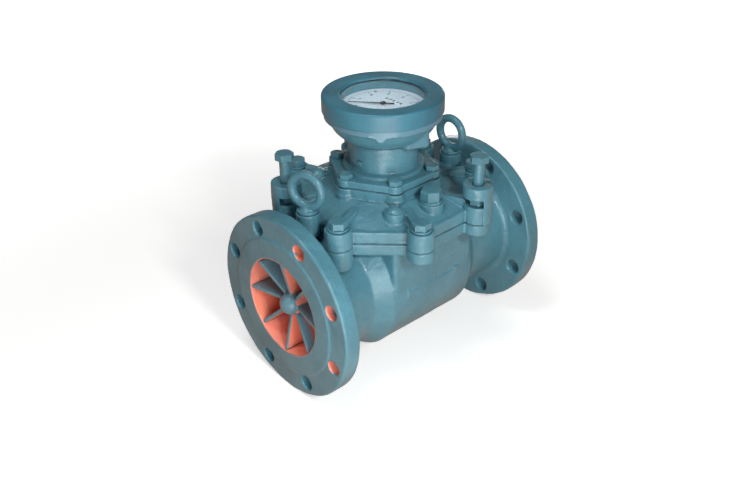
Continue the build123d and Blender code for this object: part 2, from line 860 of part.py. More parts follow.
# Screws that hold the insert under the cover
insert_screw_length = turret_flange_t + insert_screw_engagement
insert_screw = hex_screw(
    insert_screw_flats, insert_screw_head_h, insert_screw_r, insert_screw_length
)
with BuildPart() as insert_screws:
    for k in range(insert_screw_count):
        place = deck_turned(cover_z - turret_flange_t, 45 + 360.0 / insert_screw_count * k)
        add(place.location * Pos(insert_screw_pitch_r, 0, 0) * Rot(180, 0, 0) * insert_screw)
insert_screws.part.label = "insert_screws"
export_step(insert_screws.part, "parts/insert_screws.step")

# Front bearing support inside the tube
front_hub_back_x = rotor_x - axial_gap
front_hub_length = front_hub_back_x - tube_front_x - hub_inset
front_hub_nose_x = front_hub_back_x - front_hub_length
with BuildPart() as front_hub:
    with BuildSketch(Plane.XZ):
        with BuildLine():
            Polyline(
                (front_hub_back_x, 0),
                (front_hub_back_x, hub_r),
                (front_hub_nose_x + front_hub_length * 0.5, hub_r),
            )
            ThreePointArc(
                (front_hub_nose_x + front_hub_length * 0.5, hub_r),
                (front_hub_nose_x + front_hub_length * 0.14, hub_r * 0.75),
                (front_hub_nose_x, hub_r * 0.35),
            )
            Polyline(
                (front_hub_nose_x, hub_r * 0.35),
                (front_hub_nose_x, 0),
                (front_hub_back_x, 0),
            )
        make_face()
    revolve(axis=Axis.X)
    with BuildSketch(across(front_hub_nose_x + 1)):
        with PolarLocations(0, support_vanes, start_angle=45):
            Rectangle(throat_r - fit, vane_t, align=(Align.MIN, Align.CENTER))
    extrude(amount=front_hub_length - 1)
    with BuildSketch(across(front_hub_back_x)):
        Circle(rotor_shaft_r + bush_wall + fit)
    extrude(amount=-bush_length, mode=Mode.SUBTRACT)
front_hub.part.label = "front_hub"
export_step(front_hub.part, "parts/front_hub.step")

# Rear hub: a cup that holds the worm gear, carried by four struts
rear_hub_x = rotor_x + rotor_length + axial_gap
rear_hub_back_x = rear_hub_x + rear_hub_length
cavity_inner_r = hub_r - hub_wall
lower_bush_top = -worm_pitch_r - wheel_t
with BuildPart() as rear_hub:
    with BuildSketch(across(rear_hub_x)):
        Circle(hub_r)
    extrude(amount=rear_hub_length)
    with BuildSketch(Plane(origin=(shaft_x, shaft_y, 0))):
        RectangleRounded(strut_length, strut_t, strut_t * 0.3)
    extrude(amount=throat_r)
    with BuildSketch(across(shaft_x - strut_length / 2)):
        with PolarLocations(0, 3, start_angle=-180, angular_range=270):
            Rectangle(throat_r - fit, vane_t * 2, align=(Align.MIN, Align.CENTER))
    extrude(amount=strut_length)
    with BuildSketch(across(rear_hub_x)):
        Circle(throat_r - fit)
    extrude(amount=rear_hub_length, mode=Mode.INTERSECT)
    with BuildSketch(across(rear_hub_x + hub_wall)):
        Circle(cavity_inner_r)
    extrude(amount=rear_hub_length - hub_wall, mode=Mode.SUBTRACT)
    # Seat of the lower shaft bush, standing on the cup's floor
    with BuildSketch(shaft_deck(lower_bush_top)):
        Circle(drive_shaft_r + bush_wall + block_margin)
    extrude(amount=-(cavity_inner_r + lower_bush_top))
    with BuildSketch(shaft_deck(lower_bush_top)):
        Circle(drive_shaft_r + bush_wall / 2 + fit)
    extrude(amount=-bush_length, mode=Mode.SUBTRACT)
    # Shaft passage through the upper strut, with its bush seat at the top
    with BuildSketch(shaft_deck(0)):
        Circle(drive_shaft_r + shaft_clearance)
    extrude(amount=throat_r, mode=Mode.SUBTRACT)
    with BuildSketch(shaft_deck(hub_r + bush_length)):
        Circle(drive_shaft_r + bush_wall / 2 + fit)
    extrude(amount=-bush_length, mode=Mode.SUBTRACT)
    # Hole for the rotor shaft in the front wall
    with BuildSketch(across(rear_hub_x)):
        Circle(rotor_shaft_r + shaft_clearance)
    extrude(amount=hub_wall, mode=Mode.SUBTRACT)
rear_hub.part.label = "rear_hub"
export_step(rear_hub.part, "parts/rear_hub.step")

# Tail cone that closes the cup and holds the rear bush
with BuildPart() as tail_cone:
    with BuildSketch(Plane.XZ):
        with BuildLine():
            Polyline(
                (rear_hub_back_x - spigot_length, 0),
                (rear_hub_back_x - spigot_length, cavity_inner_r - fit),
                (rear_hub_back_x, cavity_inner_r - fit),
                (rear_hub_back_x, hub_r),
            )
            ThreePointArc(
                (rear_hub_back_x, hub_r),
                (rear_hub_back_x + tail_length * 0.6, hub_r * 0.66),
                (rear_hub_back_x + tail_length, hub_r * 0.2),
            )
            Polyline(
                (rear_hub_back_x + tail_length, hub_r * 0.2),
                (rear_hub_back_x + tail_length, 0),
                (rear_hub_back_x - spigot_length, 0),
            )
        make_face()
    revolve(axis=Axis.X)
    with BuildSketch(across(rear_hub_back_x - spigot_length)):
        Circle(rotor_shaft_r + bush_wall + fit)
    extrude(amount=bush_length, mode=Mode.SUBTRACT)
tail_cone.part.label = "tail_cone"
export_step(tail_cone.part, "parts/tail_cone.step")

# Rotor wheel with twisted blades
blade_chord = rotor_length * 0.94
blade_root_plane_r = hub_r - blade_sink
with BuildPart() as rotor_wheel:
    with BuildSketch(across(rotor_x)):
        Circle(hub_r)
    extrude(amount=rotor_length)
    for k in range(blade_count):
        turn = math.radians(360.0 / blade_count * k)
        outward = Vector(0, math.cos(turn), math.sin(turn))
        along = Vector(1, 0, 0)
        sideways = outward.cross(along)
        for radius, pitch in ((blade_root_plane_r, blade_root_pitch), (throat_r, blade_tip_pitch)):
            chord = along * math.cos(math.radians(pitch)) - sideways * math.sin(math.radians(pitch))
            centre = Vector(rotor_x + rotor_length / 2, 0, 0) + outward * radius
            length = blade_chord * math.cos(math.radians(blade_root_pitch))
            with BuildSketch(Plane(origin=centre, x_dir=chord, z_dir=outward)):
                RectangleRounded(length, blade_t, blade_t * 0.45)
        loft()
    with BuildSketch(across(rotor_x)):
        Circle(throat_r - tip_gap)
        Circle(rotor_shaft_r + fit, mode=Mode.SUBTRACT)
    extrude(amount=rotor_length, mode=Mode.INTERSECT)
rotor_wheel.part.label = "rotor_wheel"
export_step(rotor_wheel.part, "parts/rotor_wheel.step")

# Rotor shaft with the worm cut on it
shaft_front_x = front_hub_back_x - bush_length + shaft_end_gap
shaft_back_x = rear_hub_back_x - spigot_length + bush_length - shaft_end_gap
worm_start_x = shaft_x - worm_lead * (worm_turns / 2)
rotor_worm = worm_thread(
    (worm_start_x, 0, 0),
    (1, 0, 0),
    worm_lead,
    worm_turns,
    worm_pitch_r - dedendum,
    addendum + dedendum,
    thread_half_w,
)
with BuildPart() as rotor_shaft:
    with BuildSketch(across(shaft_front_x)):
        Circle(rotor_shaft_r)
    extrude(amount=shaft_back_x - shaft_front_x)
    add(rotor_worm)
rotor_shaft.part.label = "rotor_shaft"
export_step(rotor_shaft.part, "parts/rotor_shaft.step")

# Bushes of the rotor shaft
front_bush_x = front_hub_back_x - bush_length
rear_bush_x = rear_hub_back_x - spigot_length
rotor_bush_outer_r = rotor_shaft_r + bush_wall
front_bush = bush(across(front_bush_x), rotor_shaft_r + fit, rotor_bush_outer_r, bush_length)
rear_bush = bush(across(rear_bush_x), rotor_shaft_r + fit, rotor_bush_outer_r, bush_length)
with BuildPart() as rotor_bushes:
    add(front_bush)
    add(rear_bush)
rotor_bushes.part.label = "rotor_bushes"
export_step(rotor_bushes.part, "parts/rotor_bushes.step")

# Worm wheel on the vertical drive shaft
wheel_plane = Plane(origin=(shaft_x, shaft_y, -wheel_t / 2), x_dir=(0, 1, 0), z_dir=(0, 0, 1))
wheel_gear = spur_gear(
    wheel_plane,
    wheel_teeth,
    wheel_pitch_r,
    addendum,
    dedendum,
    tooth_half_w,
    wheel_t,
    drive_shaft_r + fit,
)
with BuildPart() as worm_wheel:
    add(wheel_gear)
worm_wheel.part.label = "worm_wheel"
export_step(worm_wheel.part, "parts/worm_wheel.step")

# Vertical drive shaft from the worm wheel up to the driver magnet
drive_shaft_low_z = lower_bush_top - bush_length + shaft_end_gap
driver_z = magnet_pocket_z + magnet_gap
with BuildPart() as drive_shaft:
    with BuildSketch(shaft_deck(drive_shaft_low_z)):
        Circle(drive_shaft_r)
    extrude(amount=driver_z + magnet_h - magnet_web - drive_shaft_low_z)
drive_shaft.part.label = "drive_shaft"
export_step(drive_shaft.part, "parts/drive_shaft.step")

with BuildPart() as driver_magnet:
    with BuildSketch(shaft_deck(driver_z)):
        Circle(magnet_r)
    extrude(amount=magnet_h)
    with BuildSketch(shaft_deck(driver_z)):
        Circle(drive_shaft_r + fit)
    extrude(amount=magnet_h - magnet_web, mode=Mode.SUBTRACT)
driver_magnet.part.label = "driver_magnet"
export_step(driver_magnet.part, "parts/driver_magnet.step")

# Bushes of the vertical drive shaft: in the cup, in the strut and in the cover
thin_bush_r = drive_shaft_r + bush_wall / 2
drive_bore_r = drive_shaft_r + fit
cup_bush = bush(shaft_deck(lower_bush_top - bush_length), drive_bore_r, thin_bush_r, bush_length)
strut_bush = bush(shaft_deck(hub_r), drive_bore_r, thin_bush_r, bush_length)
cover_bush_z = magnet_pocket_z - bush_length
cover_bush = bush(shaft_deck(cover_bush_z), drive_bore_r, drive_shaft_r + bush_wall, bush_length)
with BuildPart() as drive_bushes:
    add(cup_bush)
    add(strut_bush)
    add(cover_bush)
drive_bushes.part.label = "drive_bushes"
export_step(drive_bushes.part, "parts/drive_bushes.step")

# Inlet flow straightener, its vanes swept forward from the hub to the rim
dome_x = straightener_front_x - straightener_nose
with BuildPart() as inlet_straightener:
    with BuildSketch(across(straightener_rim_x)):
        with PolarLocations(0, straightener_vanes):
            Rectangle(bore_r, straightener_vane_t, align=(Align.MIN, Align.CENTER))
    extrude(amount=straightener_back_x - straightener_rim_x)
    with BuildSketch(Plane.XZ):
        with BuildLine():
            Polyline(
                (straightener_front_x, 0),
                (straightener_front_x, straightener_hub_r),
                (straightener_rim_x, bore_r - fit),
                (straightener_back_x, bore_r - fit),
                (straightener_back_x, 0),
                (straightener_front_x, 0),
            )
        make_face()
    revolve(axis=Axis.X, mode=Mode.INTERSECT)
    with BuildSketch(Plane.XZ):
        with BuildLine():
            Line((straightener_back_x, 0), (straightener_back_x, straightener_hub_r))
            Line(
                (straightener_back_x, straightener_hub_r),
                (dome_x + straightener_hub_r, straightener_hub_r),
            )
            RadiusArc(
                (dome_x + straightener_hub_r, straightener_hub_r), (dome_x, 0), -straightener_hub_r
            )
            Line((dome_x, 0), (straightener_back_x, 0))
        make_face()
    revolve(axis=Axis.X)
inlet_straightener.part.label = "inlet_straightener"
export_step(inlet_straightener.part, "parts/inlet_straightener.step")

# Gasket between the pedestal and the register neck
with BuildPart() as pedestal_gasket:
    with BuildSketch(deck(pedestal_z)):
        add(pedestal_outline.sketch)
        Circle(cap_r + fit, mode=Mode.SUBTRACT)
        with PolarLocations(pedestal_bolt_pitch_r, pedestal_bolt_count):
            Circle(neck_bolt_r + fit, mode=Mode.SUBTRACT)
    extrude(amount=gasket_t)
pedestal_gasket.part.label = "pedestal_gasket"
export_step(pedestal_gasket.part, "parts/pedestal_gasket.step")

# Separating cap between the wet magnet and the dry one
with BuildPart() as separating_cap:
    with BuildSketch(deck(pedestal_z)):
        Circle(cap_r)
    extrude(amount=cap_t)
separating_cap.part.label = "separating_cap"
export_step(separating_cap.part, "parts/separating_cap.step")

# Register neck with its six-sided foot
neck_inner_r = register_neck_r - register_neck_wall
neck_foot_top_z = neck_flange_z + neck_flange_t
seal_screw_z = neck_foot_top_z + seal_screw_rise
neck_profile = Plane(origin=(chamber_x, 0, 0), x_dir=(1, 0, 0), z_dir=(0, -1, 0))
with BuildPart() as register_neck:
    with BuildSketch(deck(neck_flange_z)):
        add(pedestal_outline.sketch)
    extrude(amount=neck_flange_t)
    with BuildSketch(neck_profile):
        with BuildLine():
            FilletPolyline(
                (0, neck_flange_z),
                (neck_step_r, neck_flange_z),
                (neck_step_r, neck_foot_top_z + neck_step_h),
                (register_neck_r, neck_foot_top_z + neck_step_h * 1.5),
                (register_neck_r, neck_top_z),
                (0, neck_top_z),
                radius=neck_step_round,
            )
            Line((0, neck_top_z), (0, neck_flange_z))
        make_face()
    revolve(axis=Axis((chamber_x, 0, 0), (0, 0, 1)))
    with BuildSketch(deck(neck_foot_top_z)):
        with PolarLocations(pedestal_bolt_pitch_r, pedestal_bolt_count):
            Circle(neck_boss_r)
    extrude(amount=-neck_flange_t)
    with BuildSketch(deck(neck_flange_z)):
        Circle(neck_inner_r)
    extrude(amount=neck_top_z - neck_flange_z, mode=Mode.SUBTRACT)
    with BuildSketch(deck(neck_flange_z)):
        Circle(cap_r + fit)
    extrude(amount=cap_t - gasket_t, mode=Mode.SUBTRACT)
    with BuildSketch(deck(bearing_plate_z)):
        Circle(neck_inner_r + plate_ledge)
    extrude(amount=neck_top_z - bearing_plate_z, mode=Mode.SUBTRACT)
    with BuildSketch(deck(neck_flange_z)):
        with PolarLocations(pedestal_bolt_pitch_r, pedestal_bolt_count):
            Circle(neck_bolt_r + 2 * fit)
    extrude(amount=neck_flange_t, mode=Mode.SUBTRACT)
    with BuildSketch(Plane(deck_turned(seal_screw_z, seal_screw_angle).location * Rot(0, 90, 0))):
        Circle(seal_screw_r + fit)
    extrude(amount=2 * register_neck_r, mode=Mode.SUBTRACT)
register_neck.part.label = "register_neck"
export_step(register_neck.part, "parts/register_neck.step")

# Bolts through the neck's foot
neck_bolt_length = neck_flange_t + gasket_t + neck_bolt_engagement
neck_bolt = hex_screw(neck_bolt_flats, neck_bolt_head_h, neck_bolt_r, neck_bolt_length)
with BuildPart() as neck_bolts:
    for k in range(pedestal_bolt_count):
        place = deck_turned(neck_foot_top_z, 360.0 / pedestal_bolt_count * k)
        add(place.location * Pos(pedestal_bolt_pitch_r, 0, 0) * neck_bolt)
neck_bolts.part.label = "neck_bolts"
export_step(neck_bolts.part, "parts/neck_bolts.step")

# Seal screw in the side of the neck
small_screw = hex_screw(seal_screw_flats, seal_screw_head_h, seal_screw_r, seal_screw_length)
seal_place = deck_turned(seal_screw_z, seal_screw_angle).location
with BuildPart() as seal_screw:
    add(seal_place * Pos(register_neck_r, 0, 0) * Rot(0, 90, 0) * small_screw)
seal_screw.part.label = "seal_screw"
export_step(seal_screw.part, "parts/seal_screw.step")

# Plate in the neck that carries the register shaft
with BuildPart() as bearing_plate:
    with BuildSketch(deck(bearing_plate_z)):
        Circle(neck_inner_r + plate_ledge - fit)
    extrude(amount=bearing_plate_t)
    with BuildSketch(shaft_deck(bearing_plate_z)):
        Circle(small_shaft_r + fit)
    extrude(amount=bearing_plate_t, mode=Mode.SUBTRACT)
bearing_plate.part.label = "bearing_plate"
export_step(bearing_plate.part, "parts/bearing_plate.step")

# Follower magnet and the register shaft with its pinion
follower_z = pedestal_z + cap_t + magnet_gap
register_shaft_top_z = gear_z + gear_t
pinion_plane = Plane(origin=(shaft_x, shaft_y, gear_z), x_dir=(0, 1, 0), z_dir=(0, 0, 1))
register_pinion = spur_gear(
    pinion_plane,
    pinion_teeth,
    pinion_pitch_r,
    gear_addendum,
    gear_dedendum,
    gear_tooth_half_w,
    gear_t,
    0,
)
with BuildPart() as register_shaft:
    with BuildSketch(shaft_deck(follower_z + magnet_web)):
        Circle(small_shaft_r)
    extrude(amount=register_shaft_top_z - follower_z - magnet_web)
    add(register_pinion)
register_shaft.part.label = "register_shaft"
export_step(register_shaft.part, "parts/register_shaft.step")

with BuildPart() as follower_magnet:
    with BuildSketch(shaft_deck(follower_z)):
        Circle(magnet_r)
    extrude(amount=magnet_h)
    with BuildSketch(shaft_deck(follower_z + magnet_web)):
        Circle(small_shaft_r + fit)
    extrude(amount=magnet_h - magnet_web, mode=Mode.SUBTRACT)
follower_magnet.part.label = "follower_magnet"
export_step(follower_magnet.part, "parts/follower_magnet.step")

# Register bowl with its floor, its rim and the squared box on its side
bowl_mid_r = register_neck_r + (bowl_rim_r - register_neck_r) * 0.66
bowl_mid_z = neck_top_z + (bowl_height - skirt_h) * 0.4
bowl_shoulder_z = bowl_top_z - skirt_h
rim_wall = bowl_rim_r - (bezel_bore_r + rim_step)
with BuildPart() as register_bowl:
    with BuildSketch(neck_profile):
        with BuildLine():
            Line((0, neck_top_z), (register_neck_r, neck_top_z))
            ThreePointArc(
                (register_neck_r, neck_top_z),
                (bowl_mid_r, bowl_mid_z),
                (bowl_rim_r, bowl_shoulder_z),
            )
            Polyline(
                (bowl_rim_r, bowl_shoulder_z),
                (bowl_rim_r, bowl_top_z),
                (0, bowl_top_z),
                (0, neck_top_z),
            )
        make_face()
    revolve(axis=Axis((chamber_x, 0, 0), (0, 0, 1)))
    box_plane = deck_turned(bowl_shoulder_z, box_angle)
    with BuildSketch(box_plane):
        with Locations((box_reach - box_depth / 2, box_side)):
            RectangleRounded(box_depth, box_w, box_corner_r)
    extrude(amount=-box_h)
    with BuildSketch(neck_profile):
        with BuildLine():
            Line((0, floor_z), (register_neck_r - 1, floor_z))
            ThreePointArc(
                (register_neck_r - 1, floor_z),
                (bowl_mid_r - bowl_wall, bowl_mid_z + bowl_wall * 0.7),
                (bowl_rim_r - rim_wall, bowl_shoulder_z),
            )
            Polyline(
                (bowl_rim_r - rim_wall, bowl_shoulder_z),
                (bowl_rim_r - rim_wall, bowl_top_z),
                (0, bowl_top_z),
                (0, floor_z),
            )
        make_face()
    revolve(axis=Axis((chamber_x, 0, 0), (0, 0, 1)), mode=Mode.SUBTRACT)
    with BuildSketch(shaft_deck(neck_top_z)):
        Circle(small_shaft_r + bush_wall + fit)
    extrude(amount=bowl_floor_t, mode=Mode.SUBTRACT)
register_bowl.part.label = "register_bowl"
export_step(register_bowl.part, "parts/register_bowl.step")

# Bushes that carry the register shafts in the bowl's floor and the movement plate
pointer_axis = (chamber_x, 0)
counter_axis = (chamber_x + counter_dx, counter_dy)
small_bore_r = small_shaft_r + fit
small_bush_r = small_shaft_r + bush_wall / 2
floor_bush = bush(shaft_deck(neck_top_z), small_bore_r, small_shaft_r + bush_wall, bowl_floor_t)
shaft_bushes = [
    bush(Plane(origin=(axis_x, axis_y, bush_z)), small_bore_r, small_bush_r, length)
    for axis_x, axis_y in (pointer_axis, counter_axis)
    for bush_z, length in ((floor_z, floor_bush_h), (movement_z, movement_t))
]
with BuildPart() as register_bushes:
    add(floor_bush)
    for sleeve in shaft_bushes:
        add(sleeve)
register_bushes.part.label = "register_bushes"
export_step(register_bushes.part, "parts/register_bushes.step")

# Thin skirt under the bezel, with its small pointed tab
with BuildPart() as bezel_skirt:
    with BuildSketch(deck(bowl_shoulder_z)):
        Circle(bowl_rim_r + skirt_gap + skirt_t)
        Circle(bowl_rim_r + skirt_gap, mode=Mode.SUBTRACT)
    extrude(amount=skirt_h)
    tab_plane = Plane(
        origin=(
            chamber_x + (bowl_rim_r + skirt_gap) * math.cos(math.radians(skirt_tab_angle)),
            (bowl_rim_r + skirt_gap) * math.sin(math.radians(skirt_tab_angle)),
            bowl_shoulder_z,
        ),
        x_dir=(-math.sin(math.radians(skirt_tab_angle)), math.cos(math.radians(skirt_tab_angle)), 0),
        z_dir=(math.cos(math.radians(skirt_tab_angle)), math.sin(math.radians(skirt_tab_angle)), 0),
    )
    with BuildSketch(tab_plane.offset(skirt_t * 0.3)) as tab_outline:
        with BuildLine():
            Polyline(
                (-skirt_tab_w, skirt_h * 0.5),
                (-skirt_tab_w, 0),
                (-skirt_tab_w * 0.45, -skirt_tab_h * 0.2),
                (-skirt_tab_w * 0.15, -skirt_tab_h),
                (skirt_tab_w * 0.15, -skirt_tab_h),
                (skirt_tab_w * 0.45, -skirt_tab_h * 0.2),
                (skirt_tab_w, 0),
                (skirt_tab_w, skirt_h * 0.5),
                close=True,
            )
        make_face()
        fillet(tab_outline.vertices().sort_by(Axis.Z)[:4], 2.0)
    extrude(amount=skirt_t * 0.55)
bezel_skirt.part.label = "bezel_skirt"
export_step(bezel_skirt.part, "parts/bezel_skirt.step")

# Bezel ring
with BuildPart() as bezel_ring:
    with BuildSketch(neck_profile):
        with BuildLine():
            Polyline(
                (bezel_r - bezel_round, bezel_top_z),
                (window_r + window_bevel, bezel_top_z),
                (window_r, bezel_top_z - window_bevel),
                (window_r, bezel_top_z - lip_t),
                (bezel_bore_r, bezel_top_z - lip_t),
                (bezel_bore_r, bowl_top_z),
                (bezel_r, bowl_top_z),
                (bezel_r, bezel_top_z - bezel_round),
            )
            RadiusArc(
                (bezel_r, bezel_top_z - bezel_round),
                (bezel_r - bezel_round, bezel_top_z),
                -bezel_round,
            )
        make_face()
    revolve(axis=Axis((chamber_x, 0, 0), (0, 0, 1)))
bezel_ring.part.label = "bezel_ring"
export_step(bezel_ring.part, "parts/bezel_ring.step")

# Window glass on its gasket, and the ring between gasket and dial
inner_stack_r = bezel_bore_r - fit
with BuildPart() as glass:
    with BuildSketch(deck(glass_z)):
        Circle(inner_stack_r)
    extrude(amount=glass_t)
glass.part.label = "glass"
export_step(glass.part, "parts/glass.step")

with BuildPart() as glass_gasket:
    with BuildSketch(deck(glass_z - glass_gasket_t)):
        Circle(inner_stack_r)
        Circle(window_r + gasket_set_back, mode=Mode.SUBTRACT)
    extrude(amount=glass_gasket_t)
glass_gasket.part.label = "glass_gasket"
export_step(glass_gasket.part, "parts/glass_gasket.step")

with BuildPart() as dial_ring:
    with BuildSketch(deck(dial_ring_z)):
        Circle(inner_stack_r)
        Circle(inner_stack_r - dial_ring_wall, mode=Mode.SUBTRACT)
    extrude(amount=dial_ring_h)
dial_ring.part.label = "dial_ring"
export_step(dial_ring.part, "parts/dial_ring.step")

# Dial with a window over each drum
drum_ys = [drum_first_y + drum_pitch * k for k in range(drum_count)]
with BuildPart() as dial_plate:
    with BuildSketch(deck(dial_z)):
        Circle(inner_stack_r)
        Circle(small_shaft_r + dial_hole_gap, mode=Mode.SUBTRACT)
        with Locations(*[(drum_x, y) for y in drum_ys]):
            Rectangle(drum_window_h, drum_window_w, mode=Mode.SUBTRACT)
        with PolarLocations(dial_pillar_pitch_r, pillar_count, start_angle=60):
            Circle(dial_screw_r + fit, mode=Mode.SUBTRACT)
    extrude(amount=dial_t)
dial_plate.part.label = "dial_plate"
export_step(dial_plate.part, "parts/dial_plate.step")

with BuildPart() as dial_screws:
    with BuildSketch(deck(dial_z + dial_t)):
        with PolarLocations(dial_pillar_pitch_r, pillar_count, start_angle=60):
            Circle(dial_screw_head_r)
    extrude(amount=dial_screw_head_h)
    with BuildSketch(deck(dial_z + dial_t)):
        with PolarLocations(dial_pillar_pitch_r, pillar_count, start_angle=60):
            Circle(dial_screw_r)
    extrude(amount=-dial_screw_length)
dial_screws.part.label = "dial_screws"
export_step(dial_screws.part, "parts/dial_screws.step")

# Pillars: the low ones carry the movement plate, the tall ones the dial
with BuildPart() as pillars:
    with BuildSketch(deck(floor_z)):
        with PolarLocations(low_pillar_pitch_r, pillar_count, start_angle=0):
            Circle(pillar_r)
    extrude(amount=movement_z - floor_z)
    with BuildSketch(deck(movement_z + movement_t)):
        with PolarLocations(dial_pillar_pitch_r, pillar_count, start_angle=60):
            Circle(pillar_r)
    extrude(amount=dial_z - movement_z - movement_t)
    with BuildSketch(deck(dial_z)):
        with PolarLocations(dial_pillar_pitch_r, pillar_count, start_angle=60):
            Circle(dial_screw_r + fit)
    extrude(amount=-dial_screw_length, mode=Mode.SUBTRACT)
pillars.part.label = "pillars"
export_step(pillars.part, "parts/pillars.step")

# Movement plate under the counter
with BuildPart() as movement_plate:
    with BuildSketch(deck(movement_z)):
        Circle(movement_r)
        with Locations((0, 0), (counter_dx, counter_dy)):
            Circle(small_shaft_r + bush_wall / 2 + fit, mode=Mode.SUBTRACT)
    extrude(amount=movement_t)
movement_plate.part.label = "movement_plate"
export_step(movement_plate.part, "parts/movement_plate.step")

# Pointer shaft, its gear and the pointer
pointer_z = dial_z + dial_t + pointer_rise
with BuildPart() as pointer_shaft:
    with BuildSketch(deck(floor_z)):
        Circle(small_shaft_r)
    extrude(amount=pointer_z + pointer_hub_h - floor_z)
pointer_shaft.part.label = "pointer_shaft"
export_step(pointer_shaft.part, "parts/pointer_shaft.step")

half_tooth = 180.0 / gear_teeth
gear_start = (
    math.sin(math.radians(half_tooth)),
    -math.cos(math.radians(half_tooth)),
    0,
)
large_gear = spur_gear(
    Plane(origin=(chamber_x, 0, gear_z), x_dir=gear_start, z_dir=(0, 0, 1)),
    gear_teeth,
    gear_pitch_r,
    gear_addendum,
    gear_dedendum,
    gear_tooth_half_w,
    gear_t,
    small_shaft_r + fit,
)
with BuildPart() as pointer_gear:
    add(large_gear)
pointer_gear.part.label = "pointer_gear"
export_step(pointer_gear.part, "parts/pointer_gear.step")

with BuildPart() as pointer:
    with BuildSketch(deck_turned(pointer_z, pointer_angle)):
        Polygon(
            (-pointer_tail, -pointer_tail_half_w),
            (0, -pointer_root_half_w),
            (pointer_length, -pointer_tip_half_w),
            (pointer_length, pointer_tip_half_w),
            (0, pointer_root_half_w),
            (-pointer_tail, pointer_tail_half_w),
            align=None,
        )
        Circle(pointer_hub_r)
        Circle(small_shaft_r + fit, mode=Mode.SUBTRACT)
    extrude(amount=pointer_t)
    with BuildSketch(deck(pointer_z)):
        Circle(pointer_hub_r - pointer_hub_step)
        Circle(small_shaft_r + fit, mode=Mode.SUBTRACT)
    extrude(amount=pointer_hub_h)
pointer.part.label = "pointer"
export_step(pointer.part, "parts/pointer.step")

# Counter gear and counter worm on their own upright shaft
counter_place = Plane(origin=(chamber_x + counter_dx, counter_dy, gear_z))
centres_angle = math.degrees(math.atan2(counter_dy - shaft_y, counter_dx))
pinion_lead = (90.0 - centres_angle) % (360.0 / pinion_teeth)
counter_gear_angle = centres_angle + 180.0 - pinion_lead * pinion_teeth / gear_teeth + half_tooth
side_gear = spur_gear(
    Plane(
        origin=counter_place.origin,
        x_dir=(
            math.cos(math.radians(counter_gear_angle)),
            math.sin(math.radians(counter_gear_angle)),
            0,
        ),
        z_dir=(0, 0, 1),
    ),
    gear_teeth,
    gear_pitch_r,
    gear_addendum,
    gear_dedendum,
    gear_tooth_half_w,
    gear_t,
    small_shaft_r + fit,
)
with BuildPart() as counter_gear:
    add(side_gear)
counter_gear.part.label = "counter_gear"
export_step(counter_gear.part, "parts/counter_gear.step")

counter_worm_start_z = axle_z - counter_lead * counter_turns / 2
counter_thread = worm_thread(
    (chamber_x + counter_dx, counter_dy, counter_worm_start_z),
    (0, 0, 1),
    counter_lead,
    counter_turns,
    counter_worm_pitch_r - dedendum,
    addendum + dedendum,
    thread_half_w,
)
with BuildPart() as counter_worm:
    with BuildSketch(counter_place.offset(floor_z - gear_z)):
        Circle(small_shaft_r)
    extrude(amount=counter_worm_start_z + counter_lead - floor_z)
    add(counter_thread)
counter_worm.part.label = "counter_worm"
export_step(counter_worm.part, "parts/counter_worm.step")

# Counter frame, its axle, the drums and the wheel that the worm turns
near_cheek_y = counter_dy - counter_wheel_t / 2 - cheek_gap - cheek_t
far_cheek_y = drum_ys[-1] + drum_w / 2 + cheek_gap
frame_length = far_cheek_y + cheek_t - near_cheek_y
frame_base_z = movement_z + movement_t
with BuildPart() as counter_frame:
    with BuildSketch(deck(frame_base_z)):
        with Locations((drum_x, near_cheek_y + frame_length / 2)):
            Rectangle(frame_base_w, frame_length)
    extrude(amount=frame_base_t)
    for cheek_y in (near_cheek_y, far_cheek_y):
        cheek_plane = Plane(
            origin=(chamber_x + drum_x, cheek_y, frame_base_z), x_dir=(1, 0, 0), z_dir=(0, 1, 0)
        )
        with BuildSketch(cheek_plane):
            Rectangle(cheek_w, axle_z + cheek_w / 2 - frame_base_z, align=(Align.CENTER, Align.MAX))
            with Locations((0, frame_base_z - axle_z)):
                Circle(axle_r + fit, mode=Mode.SUBTRACT)
        extrude(amount=cheek_t)
counter_frame.part.label = "counter_frame"
export_step(counter_frame.part, "parts/counter_frame.step")


def axle_plane(y):
    """Plane across the counter's axle at this place along it."""
    return Plane(origin=(chamber_x + drum_x, y, axle_z), x_dir=(1, 0, 0), z_dir=(0, 1, 0))


with BuildPart() as counter_axle:
    with BuildSketch(axle_plane(near_cheek_y)):
        Circle(axle_r)
    extrude(amount=frame_length)
counter_axle.part.label = "counter_axle"
export_step(counter_axle.part, "parts/counter_axle.step")

for number, drum_y in enumerate(drum_ys, start=1):
    with BuildPart() as number_drum:
        with BuildSketch(axle_plane(drum_y - drum_w / 2)):
            Circle(drum_r)
            Circle(axle_r + fit, mode=Mode.SUBTRACT)
        extrude(amount=drum_w)
    number_drum.part.label = f"number_drum_{number}"
    export_step(number_drum.part, f"parts/number_drum_{number}.step")

# Worm wheel of the units drum, with the collar that joins it to the drum
drum_gear = spur_gear(
    Plane(
        origin=(chamber_x + drum_x, counter_dy - counter_wheel_t / 2, axle_z),
        x_dir=(-1, 0, 0),
        z_dir=(0, 1, 0),
    ),
    counter_wheel_teeth,
    counter_wheel_pitch_r,
    addendum,
    dedendum,
    tooth_half_w,
    counter_wheel_t,
    axle_r + fit,
)
collar_start_y = counter_dy + counter_wheel_t / 2
with BuildPart() as drum_wheel:
    add(drum_gear)
    with BuildSketch(axle_plane(collar_start_y)):
        Circle(axle_r + collar_wall)
        Circle(axle_r + fit, mode=Mode.SUBTRACT)
    extrude(amount=drum_ys[0] - drum_w / 2 - collar_start_y)
drum_wheel.part.label = "drum_wheel"
export_step(drum_wheel.part, "parts/drum_wheel.step")
